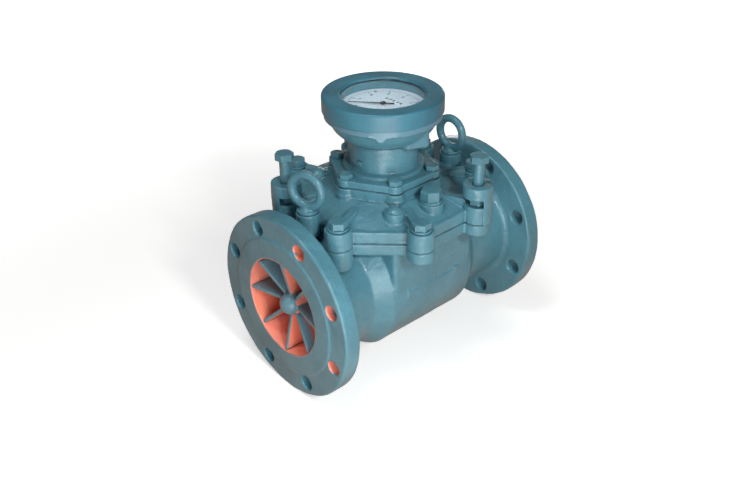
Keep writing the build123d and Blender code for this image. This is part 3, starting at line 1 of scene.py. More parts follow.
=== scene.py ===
# %% [markdown]
# Turbine flow meter: dressing a CAD frame for a photograph.
# The real object is a cast iron body with two round pipe flanges, an eight-sided bolted cover and
# a round register with a dial. Its outside has a thick coat of blue-green enamel, and salmon
# primer shows in the bore and in three bolt holes. The parts inside are mostly bare metal, the
# dial printed. The shapes come from CAD and stay where they are. This script gives them the
# softness of a casting, the print of the dial and procedural materials, in metres and in the
# CAD's own frame.

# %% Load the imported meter
import json
import math

import bmesh
import bpy
import numpy as np
from mathutils import Matrix, Vector

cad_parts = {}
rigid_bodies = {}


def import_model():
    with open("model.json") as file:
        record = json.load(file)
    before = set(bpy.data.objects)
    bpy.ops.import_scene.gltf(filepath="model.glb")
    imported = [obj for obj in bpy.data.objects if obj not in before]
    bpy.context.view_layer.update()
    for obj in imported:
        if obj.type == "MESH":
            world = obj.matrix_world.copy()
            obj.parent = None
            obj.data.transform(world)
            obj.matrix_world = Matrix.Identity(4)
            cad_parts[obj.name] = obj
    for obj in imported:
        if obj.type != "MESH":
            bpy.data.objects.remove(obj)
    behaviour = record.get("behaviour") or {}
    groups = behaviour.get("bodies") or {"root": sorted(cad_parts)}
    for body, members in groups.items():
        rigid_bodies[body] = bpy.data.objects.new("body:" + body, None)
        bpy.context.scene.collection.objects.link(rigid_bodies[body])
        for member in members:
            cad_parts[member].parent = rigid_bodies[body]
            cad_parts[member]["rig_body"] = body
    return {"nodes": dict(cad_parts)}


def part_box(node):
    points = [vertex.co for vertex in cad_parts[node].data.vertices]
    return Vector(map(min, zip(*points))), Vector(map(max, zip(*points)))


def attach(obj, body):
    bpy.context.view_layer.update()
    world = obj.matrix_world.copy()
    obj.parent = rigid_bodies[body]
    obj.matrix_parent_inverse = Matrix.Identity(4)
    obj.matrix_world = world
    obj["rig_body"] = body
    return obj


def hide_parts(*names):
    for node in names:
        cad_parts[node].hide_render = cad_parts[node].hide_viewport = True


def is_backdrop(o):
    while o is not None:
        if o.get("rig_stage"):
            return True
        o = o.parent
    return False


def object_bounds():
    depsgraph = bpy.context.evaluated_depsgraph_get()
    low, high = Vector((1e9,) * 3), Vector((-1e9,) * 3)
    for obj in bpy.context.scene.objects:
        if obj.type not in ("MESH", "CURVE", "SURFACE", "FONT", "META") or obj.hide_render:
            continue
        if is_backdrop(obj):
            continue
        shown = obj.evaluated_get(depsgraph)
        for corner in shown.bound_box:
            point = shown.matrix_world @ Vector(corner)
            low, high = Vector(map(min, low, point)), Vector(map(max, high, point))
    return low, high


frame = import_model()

cad_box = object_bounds()
nodes = frame["nodes"]
MM = 0.001

# %% [markdown]
# The camera. A view that matches a photograph can be found by hand, or solved from points whose
# places on the object are known. This one was solved from the rims of the two flanges, the
# corners of the cover and the register, so the rows below are the camera's right, up and back
# directions.

# %% Camera
camera_rows = (
    (0.7201140525, -0.6938368962, 0.0051100838),
    (0.3363100770, 0.3554697861, 0.8720875892),
    (-0.6069030265, -0.6262839553, 0.4893231282),
)
camera_spot = (-0.5962, -0.8711, 0.7306)
camera_data = bpy.data.cameras.new("photo camera")
camera_data.sensor_width = 36.0
camera_data.lens = 42.459
camera_data.shift_x = -0.0435
camera_data.shift_y = -0.0418
camera_data.clip_start = 0.01
camera_data.clip_end = 60.0
camera = bpy.data.objects.new("photo camera", camera_data)
bpy.context.scene.collection.objects.link(camera)
camera.matrix_world = Matrix.Translation(camera_spot) @ Matrix(camera_rows).transposed().to_4x4()
bpy.context.scene.camera = camera
bpy.context.scene.view_settings.view_transform = "Standard"
print("camera at", camera_spot, "lens", camera_data.lens)

# %% [markdown]
# Small helpers for shader nodes. Materials here are written as code, so a few short functions
# that add one node and plug it in make each recipe readable from top to bottom.

# %% Node helpers
def plug(tree, socket, value):
    """Links a socket to another node's output, or stores a plain value on it."""
    if isinstance(value, bpy.types.NodeSocket):
        tree.links.new(value, socket)
    else:
        socket.default_value = value


def add(tree, kind, inputs=(), **settings):
    """Adds one node, with its settings, and fills inputs given as {name or number: value}."""
    made = tree.nodes.new(kind)
    for name, value in settings.items():
        setattr(made, name, value)
    for name, value in dict(inputs).items():
        plug(tree, made.inputs[name], value)
    return made


def noise(tree, where, scale, detail=2.0, rough=0.5):
    """A noise texture's value, from 0 to 1."""
    inputs = {"Vector": where, "Scale": scale, "Detail": detail, "Roughness": rough}
    return add(tree, "ShaderNodeTexNoise", inputs).outputs["Fac"]


def remap(tree, value, low, high, to_low=0.0, to_high=1.0):
    """Stretches the span from low to high over another span, with a soft start and end."""
    inputs = {"Value": value, 1: low, 2: high, 3: to_low, 4: to_high}
    return add(tree, "ShaderNodeMapRange", inputs, interpolation_type="SMOOTHSTEP").outputs[0]


def calc(tree, operation, a, b=0.0):
    """One sum on two numbers."""
    return add(tree, "ShaderNodeMath", {0: a, 1: b}, operation=operation).outputs[0]


def times(tree, a, b):
    """The product of two numbers, for a mask or a strength."""
    return calc(tree, "MULTIPLY", a, b)


def blend(tree, factor, a, b):
    """Goes from colour a to colour b as factor goes from 0 to 1."""
    return add(tree, "ShaderNodeMix", {0: factor, 6: a, 7: b}, data_type="RGBA").outputs[2]


def own_place(tree):
    """Coordinates that stay with the piece when it moves, in metres."""
    return add(tree, "ShaderNodeTexCoord").outputs["Object"]


# %% [markdown]
# Effects shared by several materials are node groups, each built once. A group has named inputs,
# so every material can ask for its own scale or strength, and it gives back only a colour, a mask
# or a height. The shader itself stays in the material.

# %% Start a node group
SOCKETS = {"number": "NodeSocketFloat", "colour": "NodeSocketColor"}


def start_group(title, takes, gives):
    """An empty group with its sockets. Returns the tree, its input sockets and its output node."""
    tree = bpy.data.node_groups.new(title, "ShaderNodeTree")
    for name, (kind, value) in takes.items():
        made = tree.interface.new_socket(name=name, in_out="INPUT", socket_type=SOCKETS[kind])
        made.default_value = value
    for name, kind in gives.items():
        tree.interface.new_socket(name=name, in_out="OUTPUT", socket_type=SOCKETS[kind])
    source = tree.nodes.new("NodeGroupInput").outputs
    return tree, source, tree.nodes.new("NodeGroupOutput")


def use(tree, title, **values):
    """Places a group in a material and returns its output. Underscores stand for spaces."""
    inputs = {name.replace("_", " "): value for name, value in values.items()}
    made = tree.nodes.new("ShaderNodeGroup")
    made.node_tree = bpy.data.node_groups[title]
    for name, value in inputs.items():
        plug(tree, made.inputs[name], value)
    return made.outputs[0]


# %% [markdown]
# Thick enamel is never one colour. Where the coat is thin it looks lighter, where it pooled it
# looks deeper, and a sprayed coat has a fine mottle. Two noises of different size give both.

# %% Paint tone
tree, given, result = start_group(
    "Paint tone",
    {
        "Colour": ("colour", (0.1, 0.25, 0.3, 1.0)),
        "Deep": ("colour", (0.05, 0.15, 0.2, 1.0)),
        "Patch Scale": ("number", 14.0),
        "Patch Amount": ("number", 0.5),
        "Mottle": ("number", 0.12),
    },
    {"Colour": "colour"},
)
mottle_ratio = 17.0  # how much finer the mottle is than the patches
here = own_place(tree)
patches = remap(tree, noise(tree, here, given["Patch Scale"], 3.0), 0.38, 0.68)
fine = noise(tree, here, times(tree, given["Patch Scale"], mottle_ratio), 2.0, 0.6)
patch_share = times(tree, patches, given["Patch Amount"])
toned = blend(tree, patch_share, given["Colour"], given["Deep"])
mottle_share = times(tree, remap(tree, fine, 0.35, 0.75), given["Mottle"])
mottled = blend(tree, mottle_share, toned, given["Deep"])
plug(tree, result.inputs["Colour"], mottled)

# %% [markdown]
# Edges and crevices. A sharp edge gets a painted highlight in the enamels, where the coat is also
# thinner, and looks worn on rubber and plastic. In the enamels the corners get painted shade,
# while on bare metal they get tarnish. The Bevel node compares the true normal with a rounded
# one, which finds edges, and the Ambient Occlusion node finds corners.

# %% Edge and crevice masks
# Used for a painted highlight on enamel edges, and for wear on rubber and plastic.
tree, given, result = start_group(
    "Edge mask",
    {"Width": ("number", 0.0015), "Breakup Scale": ("number", 90.0)},
    {"Edge": "number"},
)
rounded = add(tree, "ShaderNodeBevel", {"Radius": given["Width"]}, samples=6).outputs["Normal"]
true_normal = add(tree, "ShaderNodeNewGeometry").outputs["Normal"]
pair = {0: rounded, 1: true_normal}
same = add(tree, "ShaderNodeVectorMath", pair, operation="DOT_PRODUCT").outputs["Value"]
turned = remap(tree, calc(tree, "SUBTRACT", 1.0, same), 0.015, 0.16)
broken = remap(tree, noise(tree, own_place(tree), given["Breakup Scale"], 3.0, 0.6), 0.3, 0.65)
plug(tree, result.inputs["Edge"], times(tree, turned, broken))

# Used for painted shade in the enamels' corners and gaps, and for tarnish on bare metal.
tree, given, result = start_group(
    "Crevice mask",
    {"Reach": ("number", 0.012), "Breakup Scale": ("number", 60.0)},
    {"Crevice": "number"},
)
sky = add(tree, "ShaderNodeAmbientOcclusion", {"Distance": given["Reach"]}, samples=8)
shut_in = remap(tree, calc(tree, "SUBTRACT", 1.0, sky.outputs["AO"]), 0.12, 0.75)
breakup = noise(tree, own_place(tree), given["Breakup Scale"], 3.0)
uneven = remap(tree, breakup, 0.25, 0.7, 0.55, 1.0)
plug(tree, result.inputs["Crevice"], times(tree, shut_in, uneven))

# %% [markdown]
# The cast skin. Sand leaves a fine grain and broad soft swells that show through the coat, and
# the coat itself dries with a slight orange peel. All three are one height for a Bump node.

# %% Cast skin, gloss and specks
tree, given, result = start_group(
    "Cast skin",
    {
        "Swell Scale": ("number", 95.0),
        "Grain Scale": ("number", 330.0),
        "Grain Amount": ("number", 0.42),
    },
    {"Height": "number"},
)
here = own_place(tree)
swell = noise(tree, here, given["Swell Scale"], 2.0, 0.45)
grain = noise(tree, here, given["Grain Scale"], 2.0, 0.55)
skin_height = calc(tree, "ADD", swell, times(tree, grain, given["Grain Amount"]))
plug(tree, result.inputs["Height"], skin_height)

tree, given, result = start_group(
    "Uneven gloss",
    {"Low": ("number", 0.25), "High": ("number", 0.45), "Scale": ("number", 30.0)},
    {"Roughness": "number"},
)
cloud = noise(tree, own_place(tree), given["Scale"], 4.0, 0.6)
plug(tree, result.inputs["Roughness"], remap(tree, cloud, 0.3, 0.7, given["Low"], given["High"]))

tree, given, result = start_group(
    "Small specks",
    {"Scale": ("number", 240.0), "Size": ("number", 0.12), "Rarity": ("number", 0.62)},
    {"Specks": "number"},
)
cluster_scale = 33.0  # specks come in clusters, and this noise says where
here = own_place(tree)
cells = {"Vector": here, "Scale": given["Scale"]}
dots = add(tree, "ShaderNodeTexVoronoi", cells).outputs["Distance"]
near = calc(tree, "LESS_THAN", dots, given["Size"])
rare = calc(tree, "GREATER_THAN", noise(tree, here, cluster_scale, 1.0), given["Rarity"])
plug(tree, result.inputs["Specks"], times(tree, near, rare))

# %% [markdown]
# The bore shows a salmon primer under the enamel. The enamel looks as if it was sprayed from the
# front and from above: it covers the front edges of the vanes and reaches deeper on faces that
# look up. The mask measures depth into the bore, takes off what the face's own direction earned,
# and has a noisy border. It works only inside the bore's radius, and in the walls of the bolt
# holes on one side, where primer shows too.

# %% Primer mask
tree, given, result = start_group(
    "Primer mask",
    {
        "Start": ("number", -0.002),
        "Fade": ("number", 0.003),
        "Up Reach": ("number", 0.0),
        "Front Reach": ("number", 0.0),
        "Bore Radius": ("number", 0.0768),
    },
    {"Primer": "number"},
)
ragged_share = 0.8  # of the fade's length that the noisy border takes
gain_with_height = 7.0  # for each metre above the pipe axis
bolt_circle_r, hole_r = 0.12, 0.0126  # the hole's own radius is 11.5 mm
wall_tilt = 0.6  # a hole's wall faces along X by less than this
side_slope, side_fade = 0.3, (0.04, 0.055)  # which holes: the three highest on the -Y side
flange_depth = (0.0005, 0.0265)  # from just behind the face to just before the flange's back

here = own_place(tree)
normal = add(tree, "ShaderNodeNewGeometry").outputs["Normal"]
axes = add(tree, "ShaderNodeSeparateXYZ", {0: here}).outputs
facing = add(tree, "ShaderNodeSeparateXYZ", {0: normal}).outputs
border = times(tree, given["Fade"], ragged_share)
ragged = times(tree, noise(tree, here, 45.0, 3.0, 0.6), border)
upward = calc(tree, "POWER", calc(tree, "MAXIMUM", facing["Z"], 0.0), 2.0)
higher = calc(tree, "ADD", 1.0, times(tree, axes["Z"], gain_with_height))
from_above = times(tree, times(tree, upward, higher), given["Up Reach"])
to_front = calc(tree, "MAXIMUM", times(tree, facing["X"], -1.0), 0.0)
from_front = times(tree, to_front, given["Front Reach"])
spray = calc(tree, "ADD", from_above, from_front)
depth = calc(tree, "SUBTRACT", calc(tree, "ADD", axes["X"], ragged), spray)
reached = remap(tree, depth, given["Start"], calc(tree, "ADD", given["Start"], given["Fade"]))
flat = add(tree, "ShaderNodeCombineXYZ", {"Y": axes["Y"], "Z": axes["Z"]}).outputs[0]
radius = add(tree, "ShaderNodeVectorMath", {0: flat}, operation="LENGTH").outputs["Value"]
inside = calc(tree, "LESS_THAN", radius, given["Bore Radius"])
off_circle = calc(tree, "ABSOLUTE", calc(tree, "SUBTRACT", radius, bolt_circle_r))
in_ring = calc(tree, "LESS_THAN", off_circle, hole_r)
on_wall = calc(tree, "LESS_THAN", calc(tree, "ABSOLUTE", facing["X"]), wall_tilt)
sideways = calc(tree, "SUBTRACT", times(tree, axes["Z"], side_slope), axes["Y"])
one_side = remap(tree, sideways, *side_fade)
behind_face = calc(tree, "GREATER_THAN", axes["X"], flange_depth[0])
before_back = calc(tree, "LESS_THAN", axes["X"], flange_depth[1])
patchy = remap(tree, noise(tree, here, 60.0, 2.0), 0.36, 0.5)
in_flange = times(tree, behind_face, before_back)
holes = times(tree, times(tree, in_ring, on_wall), times(tree, one_side, in_flange))
primed = calc(tree, "MAXIMUM", times(tree, reached, inside), times(tree, holes, patchy))
plug(tree, result.inputs["Primer"], primed)
print("node groups:", ", ".join(g.name for g in bpy.data.node_groups))

# %% [markdown]
# Enamel. One function makes every painted finish, because on the real meter they are one paint
# over different surfaces: rough casting, turned bezel, pressed skirt. The clear coat of the
# shader gives the wet second highlight of thick gloss paint, and its constants stay on the
# shader's own sockets.

# %% Enamel recipe
def start_material(title):
    """A material with an empty Principled shader. Returns the material, its tree and the shader."""
    made = bpy.data.materials.new(title)
    made.use_nodes = True
    return made, made.node_tree, made.node_tree.nodes["Principled BSDF"]


def bump(tree, shader, height, depth):
    """Feeds a height to the shader's normal. Depth is in metres."""
    inputs = {"Height": height, "Distance": depth, "Strength": 1.0}
    plug(tree, shader.inputs["Normal"], add(tree, "ShaderNodeBump", inputs).outputs["Normal"])


# Painted shadow: the near-black that fills narrow gaps where parts meet.
gap_shadow_black = (0.008, 0.014, 0.018, 1)
salmon, salmon_worn = (1.0, 0.3, 0.19, 1), (0.86, 0.31, 0.26, 1)


def enamel(
    title, colour, deep, light,
    skin=0.0006, gloss=(0.3, 0.48), coat=0.4, primer=None, patch=0.55, gap_shadow_strength=0.9,
):
    """Painted metal. Deep is where the coat pooled. Light is a painted highlight along sharp edges,
    where the coat is also thinner, and the colour of small specks.

    Skin is the bump's depth in metres, gloss the roughness from low to high, and primer the values
    of the primer mask, or None where no primer shows.
    """
    made, tree, shader = start_material(title)
    tone = use(tree, "Paint tone", Colour=(*colour, 1), Deep=(*deep, 1), Patch_Amount=patch)
    # Painted highlight: sharp edges turn the lighter colour, where the coat is also thinner.
    tone = blend(tree, times(tree, use(tree, "Edge mask"), 0.6), tone, (*light, 1))
    tone = blend(tree, times(tree, use(tree, "Small specks"), 0.5), tone, (*light, 1))
    if primer is not None:
        under = use(tree, "Paint tone", Colour=salmon, Deep=salmon_worn, Patch_Scale=22.0)
        tone = blend(tree, use(tree, "Primer mask", **primer), tone, under)
    # Painted shade: enamel turns darker where other surfaces close it in, within 14 mm.
    corner_shade = tuple(part * 0.4 for part in deep)
    corner = use(tree, "Crevice mask", Reach=0.014)
    tone = blend(tree, times(tree, corner, 0.6), tone, (*corner_shade, 1))
    # Painted shadow: a near-black line where other surfaces come within 3 mm.
    gap_shadow = use(tree, "Crevice mask", Reach=0.0028, Breakup_Scale=25.0)
    tone = blend(tree, times(tree, gap_shadow, gap_shadow_strength), tone, gap_shadow_black)
    plug(tree, shader.inputs["Base Color"], tone)
    plug(tree, shader.inputs["Roughness"], use(tree, "Uneven gloss", Low=gloss[0], High=gloss[1]))
    shader.inputs["Coat Weight"].default_value = coat
    shader.inputs["Coat Roughness"].default_value = 0.16
    bump(tree, shader, use(tree, "Cast skin"), skin)
    return made


teal, teal_deep, teal_light = (0.1, 0.285, 0.365), (0.058, 0.19, 0.25), (0.26, 0.54, 0.64)
vane_primer = {"Start": 0.001, "Fade": 0.012, "Up_Reach": 0.05, "Front_Reach": 0.045}
body_enamel = enamel("cast enamel", teal, teal_deep, teal_light, skin=0.0012, primer={})
vane_enamel = enamel(
    "vane enamel", (0.14, 0.31, 0.39), teal_deep, (0.42, 0.58, 0.64),
    skin=0.0004, primer=vane_primer,
)
bezel_enamel = enamel(
    "turned bezel enamel", (0.06, 0.25, 0.35), (0.04, 0.165, 0.235), (0.2, 0.5, 0.6),
    skin=0.0004, gloss=(0.34, 0.5), coat=0.2, patch=0.9,
)
skirt_enamel = enamel(
    "pressed skirt enamel", (0.12, 0.3, 0.4), (0.1, 0.25, 0.34), (0.3, 0.52, 0.6),
    skin=0.0002, gloss=(0.34, 0.46),
)
# The gaskets' painted edge gets a weaker painted shadow where it meets the flanges.
gasket_edge = enamel(
    "painted gasket edge", (0.09, 0.215, 0.275), (0.05, 0.12, 0.16), (0.12, 0.26, 0.32),
    skin=0.0004, gloss=(0.5, 0.7), coat=0.1, gap_shadow_strength=0.3,
)
print("enamels made")

# %% [markdown]
# Bare metals. Most parts inside the meter are not painted. Turned steel and brass carry fine
# rings from the lathe, so their noise is squeezed along one axis, and a little tarnish sits in
# the corners.

# %% Metals, rubber and plastic
# How the lathe's rings are squeezed: across the X axis, across the Z axis, or not at all.
rings_on_x, rings_on_z, no_rings = (9.0, 1.0, 1.0), (1.0, 1.0, 9.0), (1.0, 1.0, 1.0)
ring_scale, ring_depth = 900.0, 0.00004


def metal(title, colour, tarnish, gloss, squeeze=rings_on_z):
    """Bare metal, with tarnish in its rings and corners."""
    made, tree, shader = start_material(title)
    where = {"Vector": own_place(tree), "Scale": squeeze}
    stretched = add(tree, "ShaderNodeMapping", where).outputs[0]
    rings = noise(tree, stretched, ring_scale, 3.0, 0.6)
    tone = blend(tree, times(tree, rings, 0.35), (*colour, 1), (*tarnish, 1))
    corner = use(tree, "Crevice mask", Reach=0.004)
    tone = blend(tree, times(tree, corner, 0.8), tone, (*tarnish, 1))
    plug(tree, shader.inputs["Base Color"], tone)
    shader.inputs["Metallic"].default_value = 1.0
    rough = use(tree, "Uneven gloss", Low=gloss[0], High=gloss[1], Scale=120.0)
    plug(tree, shader.inputs["Roughness"], rough)
    bump(tree, shader, rings, ring_depth)
    return made


def dull(title, colour, worn, gloss, grain=0.0002):
    """Rubber or matt plastic, paler where it is worn. Grain is the bump's depth in metres."""
    made, tree, shader = start_material(title)
    tone = use(tree, "Paint tone", Colour=(*colour, 1), Deep=(*worn, 1), Patch_Scale=60.0)
    edge = times(tree, use(tree, "Edge mask", Width=0.0004), 0.6)
    plug(tree, shader.inputs["Base Color"], blend(tree, edge, tone, (*worn, 1)))
    rough = use(tree, "Uneven gloss", Low=gloss[0], High=gloss[1], Scale=80.0)
    plug(tree, shader.inputs["Roughness"], rough)
    bump(tree, shader, use(tree, "Cast skin", Swell_Scale=300.0, Grain_Scale=1800.0), grain)
    return made


bare_steel = metal(
    "turned steel", (0.56, 0.57, 0.58), (0.25, 0.23, 0.2), (0.2, 0.38), rings_on_x
)
rotor_alloy = metal("rotor alloy", (0.66, 0.67, 0.68), (0.4, 0.4, 0.4), (0.26, 0.44), no_rings)
brass = metal("machined brass", (0.78, 0.56, 0.24), (0.38, 0.24, 0.1), (0.18, 0.36))
magnet_grey = metal("ground magnet", (0.14, 0.14, 0.15), (0.06, 0.055, 0.05), (0.3, 0.5))
gasket_rubber = dull("gasket rubber", (0.03, 0.03, 0.033), (0.075, 0.075, 0.07), (0.6, 0.85))
fine_grain = 0.00003
pointer_black = dull(
    "pointer black", (0.012, 0.012, 0.014), (0.03, 0.03, 0.03), (0.35, 0.5), fine_grain
)
drum_black = dull("drum black", (0.018, 0.018, 0.02), (0.05, 0.05, 0.05), (0.4, 0.6), fine_grain)
print("metals and dull finishes made")

# %% [markdown]
# Dial and glass. The dial is a printed plate, so its white has a faint grain and its inks are
# nearly matt. Real glass would need many light paths to light the dial behind it. Letting shadow
# rays pass straight through gives the same look for less, and the glass still bends and mirrors
# what is seen.

# %% Dial white, inks and glass
def printed(title, colour, other):
    """A nearly matt print, with faint patches of a second colour."""
    made, tree, shader = start_material(title)
    patches = {"Patch_Scale": 40.0, "Patch_Amount": 0.35}
    tone = use(tree, "Paint tone", Colour=(*colour, 1), Deep=(*other, 1), **patches)
    plug(tree, shader.inputs["Base Color"], tone)
    rough = use(tree, "Uneven gloss", Low=0.4, High=0.6, Scale=90.0)
    plug(tree, shader.inputs["Roughness"], rough)
    bump(tree, shader, use(tree, "Cast skin", Swell_Scale=120.0, Grain_Scale=2400.0), 0.00002)
    return made


dial_white = printed("dial white", (0.62, 0.74, 0.84), (0.55, 0.67, 0.78))
ink_black = printed("black ink", (0.015, 0.015, 0.018), (0.04, 0.04, 0.045))
ink_red = printed("red ink", (0.55, 0.16, 0.17), (0.62, 0.28, 0.28))
digit_white = printed("digit white", (0.82, 0.82, 0.8), (0.7, 0.7, 0.68))

window_glass, tree, shader = start_material("window glass")
shader.inputs["Base Color"].default_value = (0.98, 1.0, 1.0, 1)
shader.inputs["Transmission Weight"].default_value = 1.0
shader.inputs["IOR"].default_value = 1.48
plug(tree, shader.inputs["Roughness"], use(tree, "Uneven gloss", Low=0.0, High=0.012, Scale=35.0))
clear = add(tree, "ShaderNodeBsdfTransparent", {"Color": (0.96, 0.98, 0.98, 1)})
shadow_ray = add(tree, "ShaderNodeLightPath").outputs["Is Shadow Ray"]
ways = {0: shadow_ray, 1: shader.outputs[0], 2: clear.outputs[0]}
either = add(tree, "ShaderNodeMixShader", ways)
plug(tree, tree.nodes["Material Output"].inputs["Surface"], either.outputs[0])
print("dial and glass made")

# %% [markdown]
# The record names a finish for each CAD node. Every node takes its material from that list, so
# nothing is left with the plain colour that it was packed with. The flat gaskets under the cover
# and under the register's pedestal are rubber, but all that shows of them is an edge painted over
# with the rest.

# %% Dress every CAD node
finishes = {
    "body_enamel": body_enamel,
    "vane_enamel": vane_enamel,
    "bezel_enamel": bezel_enamel,
    "skirt_enamel": skirt_enamel,
    "gasket_rubber": gasket_rubber,
    "bare_steel": bare_steel,
    "rotor_alloy": rotor_alloy,
    "brass": brass,
    "magnet_grey": magnet_grey,
    "window_glass": window_glass,
    "dial_white": dial_white,
    "pointer_black": pointer_black,
    "drum_black": drum_black,
}


def finish_of(node):
    """The record's slot name for a CAD node, from the name of the material it was packed with."""
    packed = node.data.materials[0].name if node.data.materials else ""
    return next((name for name in finishes if packed.startswith(name)), "body_enamel")


slot_of = {name: finish_of(node) for name, node in nodes.items()}
painted_over = ("cover_gasket", "pedestal_gasket")
for name, node in nodes.items():
    node.data.materials.clear()
    node.data.materials.append(gasket_edge if name in painted_over else finishes[slot_of[name]])
print("slots in use:", sorted(set(slot_of.values())))

# %% [markdown]
# Castings. A CAD solid has razor edges, and a painted casting has none. Bevelling such a shape
# edge by edge is fragile where many surfaces meet. Rebuilding it from small cells and then
# smoothing it rounds every edge alike, outside and inside corners too, which is what sand and
# paint do.

# %% Cast copies
coarse = 1.0  # cells grow by this factor; 1.0 keeps each casting's listed cell
weld_gap = 0.00001
swells = np.random.default_rng(7).normal(size=(10, 3))
swells /= np.linalg.norm(swells, axis=1)[:, None]
lengths = np.array([0.062, 0.051, 0.044, 0.037, 0.03, 0.021, 0.017, 0.013, 0.0105, 0.009])
heights = np.array([0.1, 0.09, 0.08, 0.08, 0.07, 0.05, 0.045, 0.04, 0.03, 0.03]) * MM


def hand_finish(mesh, amount):
    """Lifts and lowers the skin by a fraction of a millimetre, as thick paint leaves it.

    Faces square to the pipe were turned flat on a lathe, so they get only a quarter of it.
    """
    count = len(mesh.vertices)
    place, normal = np.zeros(count * 3), np.zeros(count * 3)
    mesh.vertices.foreach_get("co", place)
    mesh.vertices.foreach_get("normal", normal)
    place, normal = place.reshape(-1, 3), normal.reshape(-1, 3)
    waves = np.sin(place @ (swells / lengths[:, None]).T * 2 * math.pi + np.arange(10))
    lift = waves @ heights * amount
    turned_flat = np.abs(normal[:, 0]) > 0.9
    lift[turned_flat] *= 0.25
    mesh.vertices.foreach_set("co", (place + normal * lift[:, None]).ravel())
    mesh.update()


def cast_copy(name, cell, rounds, amount=1.0):
    """A softened copy of a CAD node, made of even cells, that stands for it on the same body."""
    node = nodes[name]
    made = bpy.data.objects.new("cast_" + name, node.data.copy())
    bpy.context.scene.collection.objects.link(made)
    made.modifiers.new("weld", "WELD").merge_threshold = weld_gap
    cells = made.modifiers.new("cells", "REMESH")
    cells.mode = "VOXEL"
    cells.voxel_size = cell * MM * coarse
    cells.use_smooth_shade = True
    soft = made.modifiers.new("soft", "SMOOTH")
    soft.factor = 0.5
    soft.iterations = rounds
    bpy.context.view_layer.update()
    seen = made.evaluated_get(bpy.context.evaluated_depsgraph_get())
    mesh = bpy.data.meshes.new_from_object(seen)
    made.modifiers.clear()
    made.data = mesh
    mesh.materials.clear()
    mesh.materials.append(finishes[slot_of[name]])
    hand_finish(mesh, amount)
    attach(made, node["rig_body"])
    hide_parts(name)
    print(made.name, len(mesh.polygons), "faces")


# Each casting's cell in millimetres, its rounds of smoothing, and how uneven its skin is.
castings = {
    "meter_body": (1.45, 2, 1.4),
    "cover": (1.15, 2, 1.5),
    "register_neck": (1.1, 2, 0.9),
    "register_bowl": (1.1, 2, 0.8),
    "eye_bolt_front": (0.8, 3, 0.8),
    "eye_bolt_rear": (0.8, 3, 0.8),
    "inlet_straightener": (1.1, 2, 0.6),
}
for name, (cell, rounds, amount) in castings.items():
    cast_copy(name, cell, rounds, amount)

# %% [markdown]
# Machined parts. Bolts, washers, plugs and rings do have crisp edges, only with a small break and
# a skin of paint. A Bevel modifier on the CAD node itself is enough for them, and their place and
# mesh stay as they are. The Weighted Normal modifier keeps flat faces looking flat beside the
# bevels.

# %% Broken edges on machined nodes
def soften(name, width, segments):
    """Rounds the edges of a CAD node by width, in millimetres."""
    node = nodes[name]
    node.modifiers.new("weld", "WELD").merge_threshold = weld_gap
    edge = node.modifiers.new("broken edge", "BEVEL")
    edge.width = width * MM
    edge.segments = segments
    edge.limit_method = "ANGLE"
    edge.angle_limit = sharpest_kept
    node.modifiers.new("even shading", "WEIGHTED_NORMAL").keep_sharp = False


sharpest_kept = math.radians(32)
broken_edges = {
    "cover_bolts": 0.7, "cover_washers": 0.35, "jack_screws": 0.35, "jack_nuts": 0.7,
    "vent_plug": 0.8, "low_plugs": 0.8, "neck_bolts": 0.5, "seal_screw": 0.3,
    "bezel_ring": 1.3, "bezel_skirt": 0.5, "dial_ring": 0.35, "cover_gasket": 0.25,
    "pedestal_gasket": 0.25, "pointer": 0.1, "glass": 0.4, "dial_plate": 0.12,
}
for name, width in broken_edges.items():
    soften(name, width, 3 if width > 1 else 2)
print("edges broken on", len(broken_edges), "nodes")

# %% [markdown]
# Dial print. The scale has ten numbered divisions, each split in ten. Ink could be painted with
# nodes, but real geometry a few hundredths of a millimetre thick stays sharp at any zoom. The
# reader stands at the -X side, so the top of the dial is +X and numbers run clockwise.

# %% Print helpers
dial_x, dial_y, dial_top = 0.198, 0.0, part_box("dial_plate")[1].z
ink_height = 0.06 * MM


def piece_from(name, verts, faces, material, body):
    """A mesh piece that rides on a body."""
    mesh = bpy.data.meshes.new(name)
    mesh.from_pydata([tuple(v) for v in verts], [], faces)
    mesh.materials.append(material)
    mesh.update()
    made = bpy.data.objects.new(name, mesh)
    bpy.context.scene.collection.objects.link(made)
    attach(made, body)


def slab(corners, base, top, verts, faces):
    """Adds a thin flat plate with the given outline, corners in order."""
    start, count = len(verts), len(corners)
    verts += [(x, y, base) for x, y in corners] + [(x, y, top) for x, y in corners]
    faces.append(tuple(range(start + count - 1, start - 1, -1)))
    faces.append(tuple(range(start + count, start + 2 * count)))
    for k in range(count):
        n = (k + 1) % count
        faces.append((start + k, start + n, start + count + n, start + count + k))


def tick(angle, inner, outer, half, verts, faces):
    """One straight mark on the scale, pointing at the dial's centre. Sizes in millimetres."""
    c, s = math.cos(angle), math.sin(angle)
    flat = ((inner, -half), (outer, -half), (outer, half), (inner, half))
    corners = [(dial_x + (r * c - t * s) * MM, dial_y + (r * s + t * c) * MM) for r, t in flat]
    slab(corners, dial_top - ink_height, dial_top + ink_height, verts, faces)


# %% Scale marks
mark_end = 54.5
# Where each kind of mark starts, half its width, both in millimetres, and its ink.
scales = {
    "scale_major": (45.0, 0.55, ink_black),
    "scale_half": (48.5, 0.4, ink_red),
    "scale_minor": (50.4, 0.24, ink_black),
}
for name, (inner, half, ink) in scales.items():
    verts, faces = [], []
    for step in range(100):
        kind = "scale_major" if step % 10 == 0 else "scale_half" if step % 5 == 0 else "scale_minor"
        if kind == name:
            tick(-math.radians(3.6 * step), inner, mark_end, half, verts, faces)
    piece_from(name, verts, faces, ink, "meter")
    print(name, len(faces) // 6, "marks")

